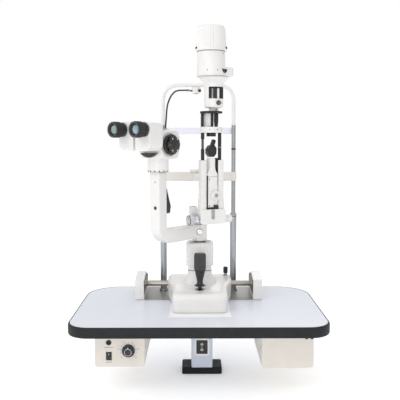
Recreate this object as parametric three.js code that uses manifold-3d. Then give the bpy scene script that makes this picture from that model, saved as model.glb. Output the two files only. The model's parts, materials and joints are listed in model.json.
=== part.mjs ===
// A slit lamp on its small lifting table: binocular microscope and illumination tower on a joystick base,
// a headrest frame, and a table with a power box, an accessory drawer and a lifting column.
// Millimetres, +Z up, +Y from the operator to the patient. The origin is on the floor, under the table.
import * as THREE from "three";
import { mergeVertices } from "three/addons/utils/BufferGeometryUtils.js";
import Module from "manifold-3d";

const wasm = await Module();
wasm.setup();

// ---- driving dimensions ----
const GAP = 0.3; // between pieces that touch
const CLEARANCE = 0.4; // round a shaft that turns
const SIDES = 16;
const FINE = 24; // sides of the larger round pieces

// Heights are counted from a level this far under the floor, which puts the top of the table at 183.
const FLOOR = 13;
const TABLE = { width: 600, depth: 400, top: 183, thickness: 25, frontRadius: 52, backRadius: 90, edge: 3.5 };
const UNDERSIDE = TABLE.top - TABLE.thickness;
const FOOT = { x: 8, width: 100, depth: 64, height: 17 };
const COLUMN = { x: 8, front: -31, width: 53, depth: 50, wall: 3, top: 148, slide: 1 };
const PANEL = { width: 28, height: 35, middle: 83.5, bezel: 5, buttonPitch: 7 };
const POWER_BOX = { x: -182, width: 114, front: -154, depth: 190, height: 80, wall: 2.5, fascia: 3 };
const DRAWER = { x: 204, width: 119.5, front: -154, depth: 184, height: 84, wall: 2.5, fascia: 3 };
const RAIL = {
  inner: 141.5, width: 23, front: 44, back: 190,
  frontTop: 235, top: 245, crestStart: 108, crestEnd: 114, backTop: 226,
};
const RAIL_FLOOR = TABLE.top + 4; // the racks stand on it
const AXLE = { y: 108, z: 213, radius: 7.7, length: 308 };
const GEAR = { teeth: 20, pitchRadius: 12, tip: 13, root: 10.9, width: 9 };
const TOOTH = { rootHalf: 0.85, tipHalf: 0.45, clearance: 0.2 };
const RACK_REACH = 15; // teeth each way from the axle
const HEADREST = {
  y: 149, half: 95, tubeRadius: 8.6, rodRadius: 5.4, bowRadius: 5, tubeTop: 398, rodTop: 636, top: 747,
};

const PIVOT = { x: 3, y: 40 }; // the vertical axis that both arms swing about
const BASE = {
  bottom: 185, top: 233, rise: 5, front: -129, back: 82, frontWidth: 134, backWidth: 166, wall: 5,
};
const NECK = { width: 61, depth: 58, top: 266 };
const POST = { width: 70, depth: 62, bottom: 279, top: 338, wall: 5, ceiling: 326 };
const SPINDLE = { radius: 11, top: 416 };
const STICK = { y: -73, pivot: 220, shaftRadius: 4.5, gripRadius: 14.7, gripBottom: 279, top: 320 };

const SCOPE_SWING = -41; // degrees at rest, from straight at the operator
const ARM = {
  reach: 150.5, width: 32, depth: 27, bottom: 350, height: 33, top: 521.5, hubRadius: 19, bend: 43,
};
const DRUM = { radius: 33.5, middle: 586, half: 37, front: 175 };
const PRISM = { inner: 3, outer: 41, back: 184.5, front: 229, bottom: 572, top: 638 };
const EYEPIECE = { half: 34.8, z: 620, radius: 18.2, end: 262 };

const LAMP_SWING = 22.5;
const TOWER = { reach: 71, shaft: 403, rodTop: 614, rodOffset: 22.5, rodRadius: 4.3 };
const YOKE = { half: 33, depth: 32, bottom: 393, shoulder: 429, postTop: 548, postWidth: 15, postDepth: 20 };

const LAMP_HEAD = {
  seam: 746, capSeam: 807, top: 869, slitTop: 660, collar: 27.5, boxEnd: 54, bodyRadius: 22.8, bodyShift: 6.5,
};
const FILTER = { x: 24, y: -4, radius: 14, bottom: 756, top: 764, notches: 16 };
const CHIN = { bottom: 486, top: 510, y: -6, boss: 16, stem: 5, shaft: 2.2, knobZ: 501.5 };
const BAND = { bottom: 612, top: 629 };

const radians = THREE.MathUtils.degToRad;

// ---- materials ----
const FINISHES = {
  white: [0xe8e6e3, 0.35, 0],
  cream: [0xdfd8cf, 0.5, 0],
  laminate: [0xe4e8f2, 0.4, 0],
  beige: [0xdcd6cd, 0.5, 0],
  black: [0x1d1e20, 0.45, 0],
  rubber: [0x28292d, 0.7, 0],
  grip: [0x464648, 0.6, 0],
  steel: [0x9ba0a6, 0.3, 1],
  axle: [0xc3bcb2, 0.3, 1],
  chrome: [0xd8dadd, 0.12, 1],
  aluminium: [0xb4bbca, 0.4, 1],
  copper: [0x9a5b3a, 0.5, 0.6],
};

function finish(name) {
  const [color, roughness, metalness] = FINISHES[name];
  return new THREE.MeshStandardMaterial({ color, roughness, metalness });
}

// ---- solids: closed geometries, joined and cut ----
function toSolid(geometry) {
  const bare = geometry.clone();
  bare.deleteAttribute("normal");
  bare.deleteAttribute("uv");
  const merged = mergeVertices(bare, 1e-4);
  const vertProperties = new Float32Array(merged.attributes.position.array);
  const triVerts = new Uint32Array(merged.index.array);
  return new wasm.Manifold(new wasm.Mesh({ numProp: 3, vertProperties, triVerts }));
}

function toGeometry(solid) {
  const mesh = solid.getMesh();
  const geometry = new THREE.BufferGeometry();
  geometry.setAttribute("position", new THREE.BufferAttribute(new Float32Array(mesh.vertProperties), 3));
  geometry.setIndex(new THREE.BufferAttribute(new Uint32Array(mesh.triVerts), 1));
  return geometry;
}

function combine(operation, first, others) {
  let solid = toSolid(first);
  for (const other of others) solid = solid[operation](toSolid(other));
  return toGeometry(solid);
}

const join = (first, ...others) => combine("add", first, others);
const cut = (first, ...others) => combine("subtract", first, others);
const common = (first, ...others) => combine("intersect", first, others);

// ---- basic shapes ----
function box(x0, x1, y0, y1, z0, z1) {
  const geometry = new THREE.BoxGeometry(x1 - x0, y1 - y0, z1 - z0);
  return geometry.translate((x0 + x1) / 2, (y0 + y1) / 2, (z0 + z1) / 2);
}

function upright(radius, z0, z1, x = 0, y = 0, sides = SIDES) {
  const geometry = new THREE.CylinderGeometry(radius, radius, z1 - z0, sides);
  return geometry.rotateX(Math.PI / 2).translate(x, y, (z0 + z1) / 2);
}

function alongX(radius, x0, x1, y, z, sides = SIDES) {
  const geometry = new THREE.CylinderGeometry(radius, radius, x1 - x0, sides);
  return geometry.rotateZ(-Math.PI / 2).translate((x0 + x1) / 2, y, z);
}

function alongY(radius, y0, y1, x, z, sides = SIDES) {
  const geometry = new THREE.CylinderGeometry(radius, radius, y1 - y0, sides);
  return geometry.translate(x, (y0 + y1) / 2, z);
}

// A turned piece about Z. The profile is a list of [radius, height] that goes up, from axis to axis.
function turned(profile, sides = SIDES) {
  const points = profile.map(([radius, height]) => new THREE.Vector2(radius, height));
  return new THREE.LatheGeometry(points, sides).rotateX(Math.PI / 2);
}

// A rectangle from (x0, y0) to (x1, y1) with one corner radius at its low-y side and one at its high-y side.
function roundedRectangle(x0, x1, y0, y1, lowRadius, highRadius = lowRadius) {
  const shape = new THREE.Shape();
  shape.absarc(x1 - lowRadius, y0 + lowRadius, lowRadius, -Math.PI / 2, 0);
  shape.absarc(x1 - highRadius, y1 - highRadius, highRadius, 0, Math.PI / 2);
  shape.absarc(x0 + highRadius, y1 - highRadius, highRadius, Math.PI / 2, Math.PI);
  shape.absarc(x0 + lowRadius, y0 + lowRadius, lowRadius, Math.PI, 1.5 * Math.PI);
  return shape;
}

function raise(shape, z0, z1, curveSegments = 2) {
  const settings = { depth: z1 - z0, bevelEnabled: false, curveSegments };
  return new THREE.ExtrudeGeometry(shape, settings).translate(0, 0, z0);
}

// The same, with its top and bottom edges rounded inwards.
function raiseSoft(shape, z0, z1, bevel, curveSegments = 2, bevelSegments = 1) {
  const settings = {
    depth: z1 - z0 - 2 * bevel,
    bevelThickness: bevel,
    bevelSize: bevel,
    bevelOffset: -bevel,
    bevelSegments,
    curveSegments,
  };
  return new THREE.ExtrudeGeometry(shape, settings).translate(0, 0, z0 + bevel);
}

const slab = (x0, x1, y0, y1, z0, z1, radius) => raise(roundedRectangle(x0, x1, y0, y1, radius), z0, z1);

// A shape drawn in the front view (x, z), extruded from the depth y0 back to y1.
function frontShape(shape, y0, y1, curveSegments = 2) {
  const settings = { depth: y1 - y0, bevelEnabled: false, curveSegments };
  return new THREE.ExtrudeGeometry(shape, settings).rotateX(Math.PI / 2).translate(0, y1, 0);
}

function slabAlongY(x0, x1, y0, y1, z0, z1, radius) {
  return frontShape(roundedRectangle(x0, x1, z0, z1, radius), y0, y1);
}

// A shape drawn in the side view (y, z), extruded from x0 to x1.
function sideShape(shape, x0, x1, curveSegments = 2) {
  const settings = { depth: x1 - x0, bevelEnabled: false, curveSegments };
  const turn = new THREE.Matrix4().makeBasis(
    new THREE.Vector3(0, 1, 0),
    new THREE.Vector3(0, 0, 1),
    new THREE.Vector3(1, 0, 0),
  );
  return new THREE.ExtrudeGeometry(shape, settings).applyMatrix4(turn).translate(x0, 0, 0);
}

function polygon(points) {
  return new THREE.Shape(points.map(([x, y]) => new THREE.Vector2(x, y)));
}

// A round bar along a path.
function bar(path, radius, steps, sides = 10) {
  const section = new THREE.Shape();
  section.absarc(0, 0, radius, 0, 2 * Math.PI);
  return new THREE.ExtrudeGeometry(section, { steps, curveSegments: sides / 2, extrudePath: path });
}

// A ring of equal teeth: each has its flanks and tip given by half angles.
function gearShape(teeth, root, tip, rootHalf, tipHalf) {
  const points = [];
  for (let i = 0; i < teeth; i += 1) {
    const middle = (i / teeth) * 2 * Math.PI - Math.PI / 2;
    const corners = [[root, -rootHalf], [tip, -tipHalf], [tip, tipHalf], [root, rootHalf]];
    for (const [radius, width] of corners) {
      const angle = middle + width / radius;
      points.push([radius * Math.cos(angle), radius * Math.sin(angle)]);
    }
  }
  return polygon(points);
}

// ---- the assembly ----
const slitLamp = new THREE.Group();
slitLamp.position.z = -FLOOR;

function group(parent, x = 0, y = 0, degrees = 0) {
  const made = new THREE.Group();
  made.position.set(x, y, 0);
  made.rotation.z = radians(degrees);
  parent.add(made);
  return made;
}

function place(parent, name, material, geometry) {
  const mesh = new THREE.Mesh(geometry, finish(material));
  mesh.name = name;
  parent.add(mesh);
}

// ---- foot and lifting column ----
function addColumn() {
  const { x, front, width, depth, wall, top, slide } = COLUMN;
  const left = x - width / 2;
  const right = x + width / 2;
  const back = front + depth;
  const footLeft = FOOT.x - FOOT.width / 2;
  const footShape = roundedRectangle(footLeft, footLeft + FOOT.width, front, front + FOOT.depth, 5);
  const footTop = FLOOR + FOOT.height;
  place(slitLamp, "foot_plate", "black", raiseSoft(footShape, FLOOR, footTop, 1.5));
  place(slitLamp, "outer_column", "aluminium", cut(
    slab(left, right, front, back, footTop + GAP, top, 4),
    box(left + wall, right - wall, front + wall, back - wall, footTop + 4, top + 1),
  ));
  const reveal = wall + slide;
  const inset = reveal + wall;
  place(slitLamp, "inner_column", "aluminium", cut(
    join(
      slab(left + reveal, right - reveal, front + reveal, back - reveal, footTop + 13, UNDERSIDE - 5, 3),
      slab(x - 70, x + 70, front - 25, back + 50, UNDERSIDE - 6, UNDERSIDE - GAP, 8),
    ),
    box(left + inset, right - inset, front + inset, back - inset, footTop, UNDERSIDE - 10),
  ));
}

function addSwitchPanel() {
  const { x, front } = COLUMN;
  const { width, height, middle, bezel, buttonPitch } = PANEL;
  const half = width / 2;
  const low = middle - height / 2;
  const high = middle + height / 2;
  const panelShape = (margin, radius) => roundedRectangle(
    x - half - margin, x + half + margin, low - margin, high + margin, radius);
  const opening = box(x - half, x + half, front - 9, front + 9, low, high);
  const surround = frontShape(panelShape(bezel, 6), front - 3, front - GAP);
  place(slitLamp, "column_bezel", "white", cut(surround, opening));
  const plate = frontShape(panelShape(-GAP, 1.5), front - 2.5, front - GAP);
  const upper = middle + buttonPitch;
  const lower = middle - buttonPitch;
  const well = (z) => alongY(4, front - 9, front + 9, x, z);
  place(slitLamp, "switch_panel", "black", cut(plate, well(upper), well(lower)));
  const button = (z) => {
    const oval = alongY(3.5, front - 3.5, front - 1.5, 0, 0).scale(1, 1, 0.75);
    return oval.translate(x, 0, z);
  };
  place(slitLamp, "up_button", "white", button(upper));
  place(slitLamp, "down_button", "white", button(lower));
}

// ---- table ----
function tableOutline(inset) {
  const half = TABLE.width / 2 - inset;
  const deep = TABLE.depth / 2 - inset;
  return roundedRectangle(-half, half, -deep, deep, TABLE.frontRadius - inset, TABLE.backRadius - inset);
}

function addTable() {
  const { top, edge } = TABLE;
  place(slitLamp, "tabletop", "laminate", raise(tableOutline(edge + GAP), UNDERSIDE, top, 5));
  place(slitLamp, "edge_trim", "rubber", cut(
    raiseSoft(tableOutline(0), UNDERSIDE, top, 1.5, 5, 1),
    raise(tableOutline(edge), UNDERSIDE - 1, top + 1, 5),
  ));
  const postHole = (x) => upright(HEADREST.tubeRadius + 4, top, top + 2, x, HEADREST.y);
  place(slitLamp, "glide_plate", "white", cut(
    join(
      slab(-70, 76, -121, 107, top + GAP, top + 1.2, 4),
      box(-RAIL.inner + 1, RAIL.inner - 1, RAIL.front, RAIL.back, top + GAP, top + 1.2),
    ),
    postHole(-HEADREST.half),
    postHole(HEADREST.half),
  ));
}

function openFrontedBox({ x, width, front, depth, height, wall, fascia }) {
  const left = x - width / 2;
  const top = UNDERSIDE - GAP;
  const outer = roundedRectangle(left, left + width, top - height, top, 6, 3);
  const start = front + fascia + GAP;
  return cut(
    frontShape(outer, start, front + depth),
    box(left + wall, left + width - wall, start - 1, front + depth - wall, top - height + wall, top - wall),
  );
}

function fasciaPlate({ x, width, front, height, fascia }) {
  const left = x - width / 2;
  const top = UNDERSIDE - GAP;
  return frontShape(roundedRectangle(left, left + width, top - height, top, 6, 3), front, front + fascia);
}

function addPowerBox() {
  const { front, fascia, depth, height, wall } = POWER_BOX;
  const jack = { x: -207, z: 135 };
  const rocker = { x: -207, z: 103, half: 6, tall: 9 };
  const knob = { x: -162, z: 116, radius: 15, shaft: 3 };
  place(slitLamp, "power_box", "cream", openFrontedBox(POWER_BOX));
  place(slitLamp, "power_panel", "cream", cut(
    fasciaPlate(POWER_BOX),
    alongY(5.2, front - 1, front + 9, jack.x, jack.z),
    alongY(knob.shaft + CLEARANCE, front - 1, front + 9, knob.x, knob.z),
    box(rocker.x - rocker.half - CLEARANCE, rocker.x + rocker.half + CLEARANCE, front - 1, front + 9,
      rocker.z - rocker.tall - 0.7, rocker.z + rocker.tall + 0.7),
  ));
  place(slitLamp, "fixation_jack", "black", cut(
    join(
      alongY(6.2, front - 2, front - GAP, jack.x, jack.z),
      alongY(4.9, front - 1, front + 12, jack.x, jack.z),
    ),
    alongY(2.4, front - 3, front + 8, jack.x, jack.z),
  ));
  const side = polygon([
    [front - 2.6, rocker.z - rocker.tall], [front + 4.5, rocker.z - rocker.tall + 1],
    [front + 4.5, rocker.z + rocker.tall - 1], [front - 2.6, rocker.z + rocker.tall],
    [front - 1.6, rocker.z],
  ]);
  place(slitLamp, "power_rocker", "black", sideShape(side, rocker.x - rocker.half, rocker.x + rocker.half));
  place(slitLamp, "brightness_knob", "black", join(
    alongY(knob.radius, front - 8, front - 0.5, knob.x, knob.z, FINE),
    alongY(knob.radius - 3, front - 14, front - 7, knob.x, knob.z, FINE),
    alongY(knob.shaft, front - 4, front + 16, knob.x, knob.z),
  ));
  const floor = UNDERSIDE - height + wall;
  const core = box(-205, -145, front + depth - 90, front + depth - 30, floor, floor + 44);
  const winding = box(-195, -155, front + depth - 102, front + depth - 18, floor + 8, floor + 36);
  place(slitLamp, "transformer", "copper", join(core, winding));
}

function addDrawer() {
  const { x, width, front, depth, height, wall, fascia } = DRAWER;
  const left = x - width / 2 + wall + 1;
  const right = x + width / 2 - wall - 1;
  const floor = UNDERSIDE - height + wall + 1;
  const back = front + depth - wall - 6;
  place(slitLamp, "drawer_housing", "cream", openFrontedBox(DRAWER));
  place(slitLamp, "drawer_tray", "cream", cut(
    join(fasciaPlate(DRAWER), box(left, right, front + fascia - 1, back, floor, floor + 58)),
    box(left + 2, right - 2, front + fascia, back - 2, floor + 2, floor + 60),
  ));
}

// ---- rails with their racks, and the rolling axle ----
function rackShape() {
  const { teeth, pitchRadius, tip, root } = GEAR;
  const pitch = (2 * Math.PI * pitchRadius) / teeth;
  const tipZ = AXLE.z - root - TOOTH.clearance;
  const rootZ = AXLE.z - tip - GAP;
  const low = AXLE.y - (RACK_REACH + 0.5) * pitch;
  const high = AXLE.y + (RACK_REACH + 0.5) * pitch;
  const points = [[low, RAIL_FLOOR], [high, RAIL_FLOOR], [high, rootZ]];
  for (let i = RACK_REACH - 1; i >= -RACK_REACH; i -= 1) {
    const middle = AXLE.y + (i + 0.5) * pitch;
    points.push([middle + TOOTH.rootHalf, rootZ], [middle + TOOTH.tipHalf, tipZ]);
    points.push([middle - TOOTH.tipHalf, tipZ], [middle - TOOTH.rootHalf, rootZ]);
  }
  points.push([low, rootZ]);
  return polygon(points);
}

function addRail(name, direction) {
  const { inner, width, front, back, frontTop, top, crestStart, crestEnd, backTop } = RAIL;
  const wall = 4;
  const outline = (inset, low) => polygon([
    [front + inset, low], [back - inset, low], [back - inset, backTop - inset],
    [crestEnd, top - inset], [crestStart, top - inset], [front + inset, frontTop - inset],
  ]);
  const floorZ = TABLE.top + GAP;
  const cover = cut(
    sideShape(outline(0, floorZ), inner, inner + width),
    sideShape(outline(wall, RAIL_FLOOR), inner - 1, inner + width - wall),
  );
  const rack = sideShape(rackShape(), inner + 3, inner + width - wall + 1);
  const rail = join(cover, rack.translate(0, 0, -0.5));
  if (direction < 0) rail.rotateZ(Math.PI).translate(0, 2 * AXLE.y, 0);
  place(slitLamp, name, "white", direction < 0 ? mirrorDepth(rail) : rail);
}

// Mirrors a rail turned about the axle's middle back to front, so that its slope faces the operator.
function mirrorDepth(geometry) {
  geometry.scale(1, -1, 1).translate(0, 2 * AXLE.y, 0);
  const index = geometry.index.array;
  for (let i = 0; i < index.length; i += 3) [index[i + 1], index[i + 2]] = [index[i + 2], index[i + 1]];
  return geometry;
}

function addAxle() {
  const { y, z, radius, length } = AXLE;
  const { teeth, root, tip, width } = GEAR;
  const teethShape = gearShape(teeth, root, tip, TOOTH.rootHalf, TOOTH.tipHalf);
  const wheel = (x0) => sideShape(teethShape, x0, x0 + width).translate(0, y, z);
  const outer = length / 2;
  place(slitLamp, "wheel_axle", "axle", join(
    alongX(radius, -outer + width - 1, outer - width + 1, y, z),
    wheel(-outer),
    wheel(outer - width),
  ));
  place(slitLamp, "axle_sleeve", "steel", cut(
    alongX(11.3, -42, 48, y, z),
    alongX(radius + CLEARANCE, -60, 60, y, z),
  ));
}

// ---- base, joystick and rising post ----
function baseOutline(inset) {
  const { front, back, frontWidth, backWidth } = BASE;
  const low = front + inset;
  const high = back - inset;
  const narrow = frontWidth / 2 - inset;
  const wide = backWidth / 2 - inset;
  const corner = 26 - inset;
  const shape = new THREE.Shape();
  shape.moveTo(-narrow + corner, low);
  shape.quadraticCurveTo(0, low - 2, narrow - corner, low);
  shape.quadraticCurveTo(narrow, low, narrow, low + corner);
  shape.bezierCurveTo(narrow + 2, -40, wide, -30, wide, 20);
  shape.lineTo(wide, high - corner);
  shape.absarc(wide - corner, high - corner, corner, 0, Math.PI / 2);
  shape.absarc(-wide + corner, high - corner, corner, Math.PI / 2, Math.PI);
  shape.lineTo(-wide, 20);
  shape.bezierCurveTo(-wide, -30, -narrow - 2, -40, -narrow, low + corner);
  shape.quadraticCurveTo(-narrow, low, -narrow + corner, low);
  return shape;
}

// Widens the foot of an upright slab towards its low end.
function flare(geometry, z0, z1, extra) {
  const position = geometry.attributes.position;
  for (let i = 0; i < position.count; i += 1) {
    const t = 1 - (position.getZ(i) - z0) / (z1 - z0);
    const grow = 1 + extra * t * t;
    position.setXY(i, position.getX(i) * grow, position.getY(i) * grow);
  }
  return geometry;
}

function addBase(instrument) {
  const { bottom, top, rise, front, back, wall } = BASE;
  const axleY = AXLE.y - PIVOT.y;
  const crown = sideShape(polygon([
    [front - 5, bottom - 1], [back + 5, bottom - 1], [back + 5, top + rise],
    [20, top + rise], [-40, top], [front - 5, top - 2],
  ]), -120, 120);
  const ceiling = sideShape(polygon([
    [front - 5, bottom - 9], [back + 5, bottom - 9], [back + 5, top + rise - wall], [20, top + rise - wall],
    [-40, top - wall], [front - 5, top - 2 - wall],
  ]), -120, 120);
  const half = NECK.width / 2;
  const deep = NECK.depth / 2;
  const neckShape = roundedRectangle(-half, half, -deep, deep, 14);
  const skirt = flare(
    new THREE.ExtrudeGeometry(neckShape, { depth: 24, steps: 4, bevelEnabled: false, curveSegments: 2 })
      .translate(0, 0, top - 3), top - 3, top + 21, 0.4);
  const tunnelHalf = BASE.backWidth / 2 - 3;
  const tunnel = box(-tunnelHalf, tunnelHalf, axleY - 13.7, axleY + 13.7, AXLE.z - 14, top);
  const shell = join(
    cut(
      common(raiseSoft(baseOutline(0), bottom, top + rise + 6, 5, 3, 1), crown),
      common(raise(baseOutline(wall), bottom - 2, top + rise, 3), ceiling),
    ),
    tunnel,
    skirt,
    raise(neckShape, top + 10, NECK.top),
  );
  place(instrument, "base_shell", "white", cut(
    shell,
    alongX(11.3 + CLEARANCE, -120, 120, axleY, AXLE.z),
    upright(11, top - 20, top + 20, 0, STICK.y),
    upright(3.4, top - 12, top + 20, 69, 57),
  ));
  place(instrument, "height_guide", "white", cut(
    slab(-29.4, 29.4, -25.4, 25.4, NECK.top + GAP, 308, 10),
    upright(10, NECK.top + 8, 320),
  ));
  place(instrument, "base_lock_knob", "black", join(
    upright(3, top - 4, top + rise + 8, 69, 57),
    upright(6, top + rise + 4, top + rise + 22, 69, 57),
  ));
}

function addJoystick(instrument) {
  const { y, pivot, shaftRadius, gripRadius, gripBottom, top } = STICK;
  const stick = group(instrument, 0, y);
  place(stick, "joystick_gimbal", "steel", cut(
    upright(13, pivot - 2.5, pivot + 2.5), upright(8, pivot - 9, pivot + 9)));
  place(stick, "joystick_shaft", "black", turned([
    [0, pivot - 3], [shaftRadius, pivot - 3], [shaftRadius, 239], [14, 239], [14, 240.2],
    [8, 243.5], [7, 249],
    [13.4, gripBottom - GAP], [6, gripBottom - GAP], [6, gripBottom + 16], [0, gripBottom + 16],
  ]));
  place(stick, "joystick_grip", "grip", cut(
    turned([
      [0, gripBottom], [13.7, gripBottom], [gripRadius, gripBottom + 2],
      [gripRadius, top - 3], [12, top], [0, top],
    ], FINE),
    upright(6 + CLEARANCE, gripBottom - 1, gripBottom + 17),
  ));
}

function addPost(instrument) {
  const { width, depth, bottom, top, wall, ceiling } = POST;
  const half = width / 2;
  const deep = depth / 2;
  place(instrument, "post_shell", "white", cut(
    raiseSoft(roundedRectangle(-half, half, -deep, deep, 16), bottom, top, 4),
    slab(-half + wall, half - wall, -deep + wall, deep - wall, bottom - 1, ceiling, 11),
  ));
  place(instrument, "pivot_spindle", "steel", upright(SPINDLE.radius, top + GAP, SPINDLE.top));
}

// ---- microscope ----
function armOutline() {
  const { reach, depth, bottom, height, top, bend } = ARM;
  const outer = -reach - depth / 2;
  const inner = -reach + depth / 2;
  const fillet = 14;
  const shape = new THREE.Shape();
  shape.moveTo(0, bottom);
  shape.lineTo(0, bottom + height);
  shape.lineTo(inner + fillet, bottom + height);
  shape.absarc(inner + fillet, bottom + height + fillet, fillet, 1.5 * Math.PI, Math.PI, true);
  shape.lineTo(inner, top);
  shape.lineTo(outer, top);
  shape.lineTo(outer, bottom + bend);
  shape.absarc(outer + bend, bottom + bend, bend, Math.PI, 1.5 * Math.PI, false);
  return shape;
}

function addMicroscope(scope) {
  const { width, bottom, height, top, hubRadius, reach } = ARM;
  const lock = { z: 366, angle: radians(-SCOPE_SWING), bore: 3.4 };
  const turnOut = (geometry) => geometry.rotateZ(lock.angle);
  const housing = roundedRectangle(-DRUM.front, DRUM.radius - reach, DRUM.middle - DRUM.radius,
    DRUM.middle + DRUM.radius, 13);
  const innerFace = ARM.depth / 2 - reach;
  const wedge = polygon([
    [innerFace - 1, 423], [innerFace + 11, 423], [innerFace + 14, 440],
    [innerFace, 483], [innerFace - 1, 483],
  ]);
  place(scope, "microscope_arm", "white", cut(
    join(
      sideShape(armOutline(), -width / 2, width / 2, 5),
      upright(hubRadius, bottom - 9, bottom + height, 0, 0, FINE),
      sideShape(wedge, -14, width / 2 - 0.5),
    ),
    upright(SPINDLE.radius + CLEARANCE, bottom - 20, bottom + height + 9),
    turnOut(alongY(lock.bore, -60, -5, 0, lock.z)),
    turnOut(alongY(8.2, -60, -19.7, 0, lock.z)),
  ));
  place(scope, "swing_lock_screw", "chrome", turnOut(join(
    alongY(lock.bore - CLEARANCE, -30, -13, 0, lock.z),
    alongY(7.5, -30, -20, 0, lock.z),
  )));
  place(scope, "microscope_body", "white", cut(
    join(
      upright(24.5, top + GAP, DRUM.middle, 0, -reach),
      sideShape(housing, -DRUM.half, DRUM.half),
      slabAlongY(-34, 34, -171.5, -112, 562, 612, 12),
    ),
    alongX(4.4, -60, 60, -reach, DRUM.middle),
  ));
  place(scope, "objective_lens", "black", cut(
    alongY(24, -111.7, -105, 0, DRUM.middle, FINE),
    alongY(19, -107, -100, 0, DRUM.middle, FINE),
  ));
  place(scope, "binocular_mount", "black", cut(
    alongY(36, -185, -175.4, 0, 592, FINE),
    box(-50, 50, -200, -150, PRISM.bottom - 4, 640),
  ));
  const knob = (from, to, radius) => alongX(radius, from, to, -reach, DRUM.middle, FINE);
  place(scope, "magnification_knob", "black", join(
    alongX(4, -DRUM.half - 2, DRUM.half + 2, -reach, DRUM.middle),
    knob(DRUM.half + 1, DRUM.half + 9, 24.5),
    knob(DRUM.half + 8, DRUM.half + 18, 21.5),
    knob(-DRUM.half - 9, -DRUM.half - 1, 24.5),
  ));
}

function addBinocular(scope, side, direction) {
  const { inner, outer, back, front, bottom, top } = PRISM;
  const { half, z, radius, end } = EYEPIECE;
  const x = half * direction;
  const low = Math.min(inner * direction, outer * direction);
  const high = Math.max(inner * direction, outer * direction);
  place(scope, `${side}_prism_box`, "white", join(
    slabAlongY(low, high, -front, -back, bottom, top, 13),
    alongY(15, -front - 4, -front + 1, x, z),
  ));
  place(scope, `${side}_eyepiece`, "rubber", cut(
    join(
      alongY(radius, -end, -end + 20, x, z, FINE),
      alongY(radius - 2, -end + 19, -front - 4 - GAP, x, z, FINE),
    ),
    alongY(13, -end - 1, -end + 4, x, z),
  ));
}

// ---- illumination ----
function addIlluminationArm(lamp) {
  const { reach, shaft } = TOWER;
  place(lamp, "illumination_arm", "white", cut(
    join(
      upright(22, 386.5, 412, 0, 0, FINE),
      box(-9.5, 9.5, -reach, 0, shaft - 9.5, shaft + 7),
      alongX(9.5, -9.5, 9.5, -reach, shaft),
    ),
    upright(SPINDLE.radius + CLEARANCE, 380, 420),
    alongX(4.4, -20, 20, -reach, shaft),
  ));
}

function addYoke(lamp) {
  const { reach, shaft, rodOffset } = TOWER;
  const { half, depth, bottom, shoulder, postTop, postWidth, postDepth } = YOKE;
  const halfWidth = postWidth / 2;
  const front = -reach - postDepth / 2;
  const back = -reach + postDepth / 2;
  const post = (x) => slab(x - halfWidth, x + halfWidth, front, back, shoulder - 4, postTop, 4);
  const base = roundedRectangle(-half, half, bottom, shoulder, 6);
  place(lamp, "yoke", "white", cut(
    join(
      frontShape(base, -reach - depth / 2, -reach + depth / 2),
      post(-rodOffset),
      post(rodOffset),
      box(-47, -half + 3, -reach + 14.5, -reach + 29, 410, 434),
      box(-half, -half + 10, -reach + 12, -reach + 29, 410, 422),
    ),
    box(-10.2, 10.2, -reach - 13, -20, bottom - 10, shaft + 12),
    alongX(4.4, -60, 60, -reach, shaft),
  ));
  place(lamp, "slit_width_shaft", "chrome", join(
    alongX(4, -60, 54, -reach, shaft),
    alongX(12.2, -63, -half - 1.5, -reach, shaft, FINE),
    alongX(9.5, 37, 54, -reach, shaft),
    alongX(6, 53, 56, -reach, shaft),
  ));
  place(lamp, "prism_column", "white", join(
    slab(-14.6, 12.6, -reach - 11, -reach + 11, shoulder + GAP, 523, 3),
    slab(-8, 6, -reach - 9, -reach + 9, 522, 553, 3),
  ));
  place(lamp, "centering_knob", "chrome", alongY(11.5, -reach - 21, -reach - 11.5, 5.5, 463, FINE));
  const mirror = polygon([
    [-12, 556], [6, 556], [10, 562], [11, 584], [5, 585], [9, 597], [2, 599], [-4, 585], [-12, 574],
  ]);
  place(lamp, "mirror_holder", "black", frontShape(mirror, -reach - 10, -reach + 10));
}

function addTower(lamp) {
  const { reach, rodTop, rodOffset, rodRadius } = TOWER;
  const { slitTop, collar } = LAMP_HEAD;
  const tower = group(lamp, 0, -reach);
  const rod = (x) => upright(rodRadius, YOKE.postTop + GAP, rodTop + 2, x, 0, 16);
  place(tower, "tower_frame", "white", cut(
    join(
      turned([[0, rodTop], [collar, rodTop], [collar, rodTop + 14], [0, rodTop + 14]], FINE),
      turned([[0, rodTop - 9], [11.5, rodTop - 9], [11.5, rodTop + 1], [0, rodTop + 1]]),
      rod(-rodOffset),
      rod(rodOffset),
    ),
    upright(8, rodTop - 10, rodTop + 20),
  ));
  const column = (x0, x1, y0, y1) => box(x0, x1, y0, y1, rodTop + 14 + GAP, slitTop + 1);
  place(tower, "slit_unit", "black", join(
    turned([[0, slitTop], [27, slitTop], [27, slitTop + 5.7], [0, slitTop + 5.7]], FINE),
    column(-26, -21, -4, 4),
    column(-17, -5, -9, 9),
    column(-3.5, 2.5, -9, 9),
    column(8.5, 17.5, -4, 4),
  ));
  addLampHead(tower);
}

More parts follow.
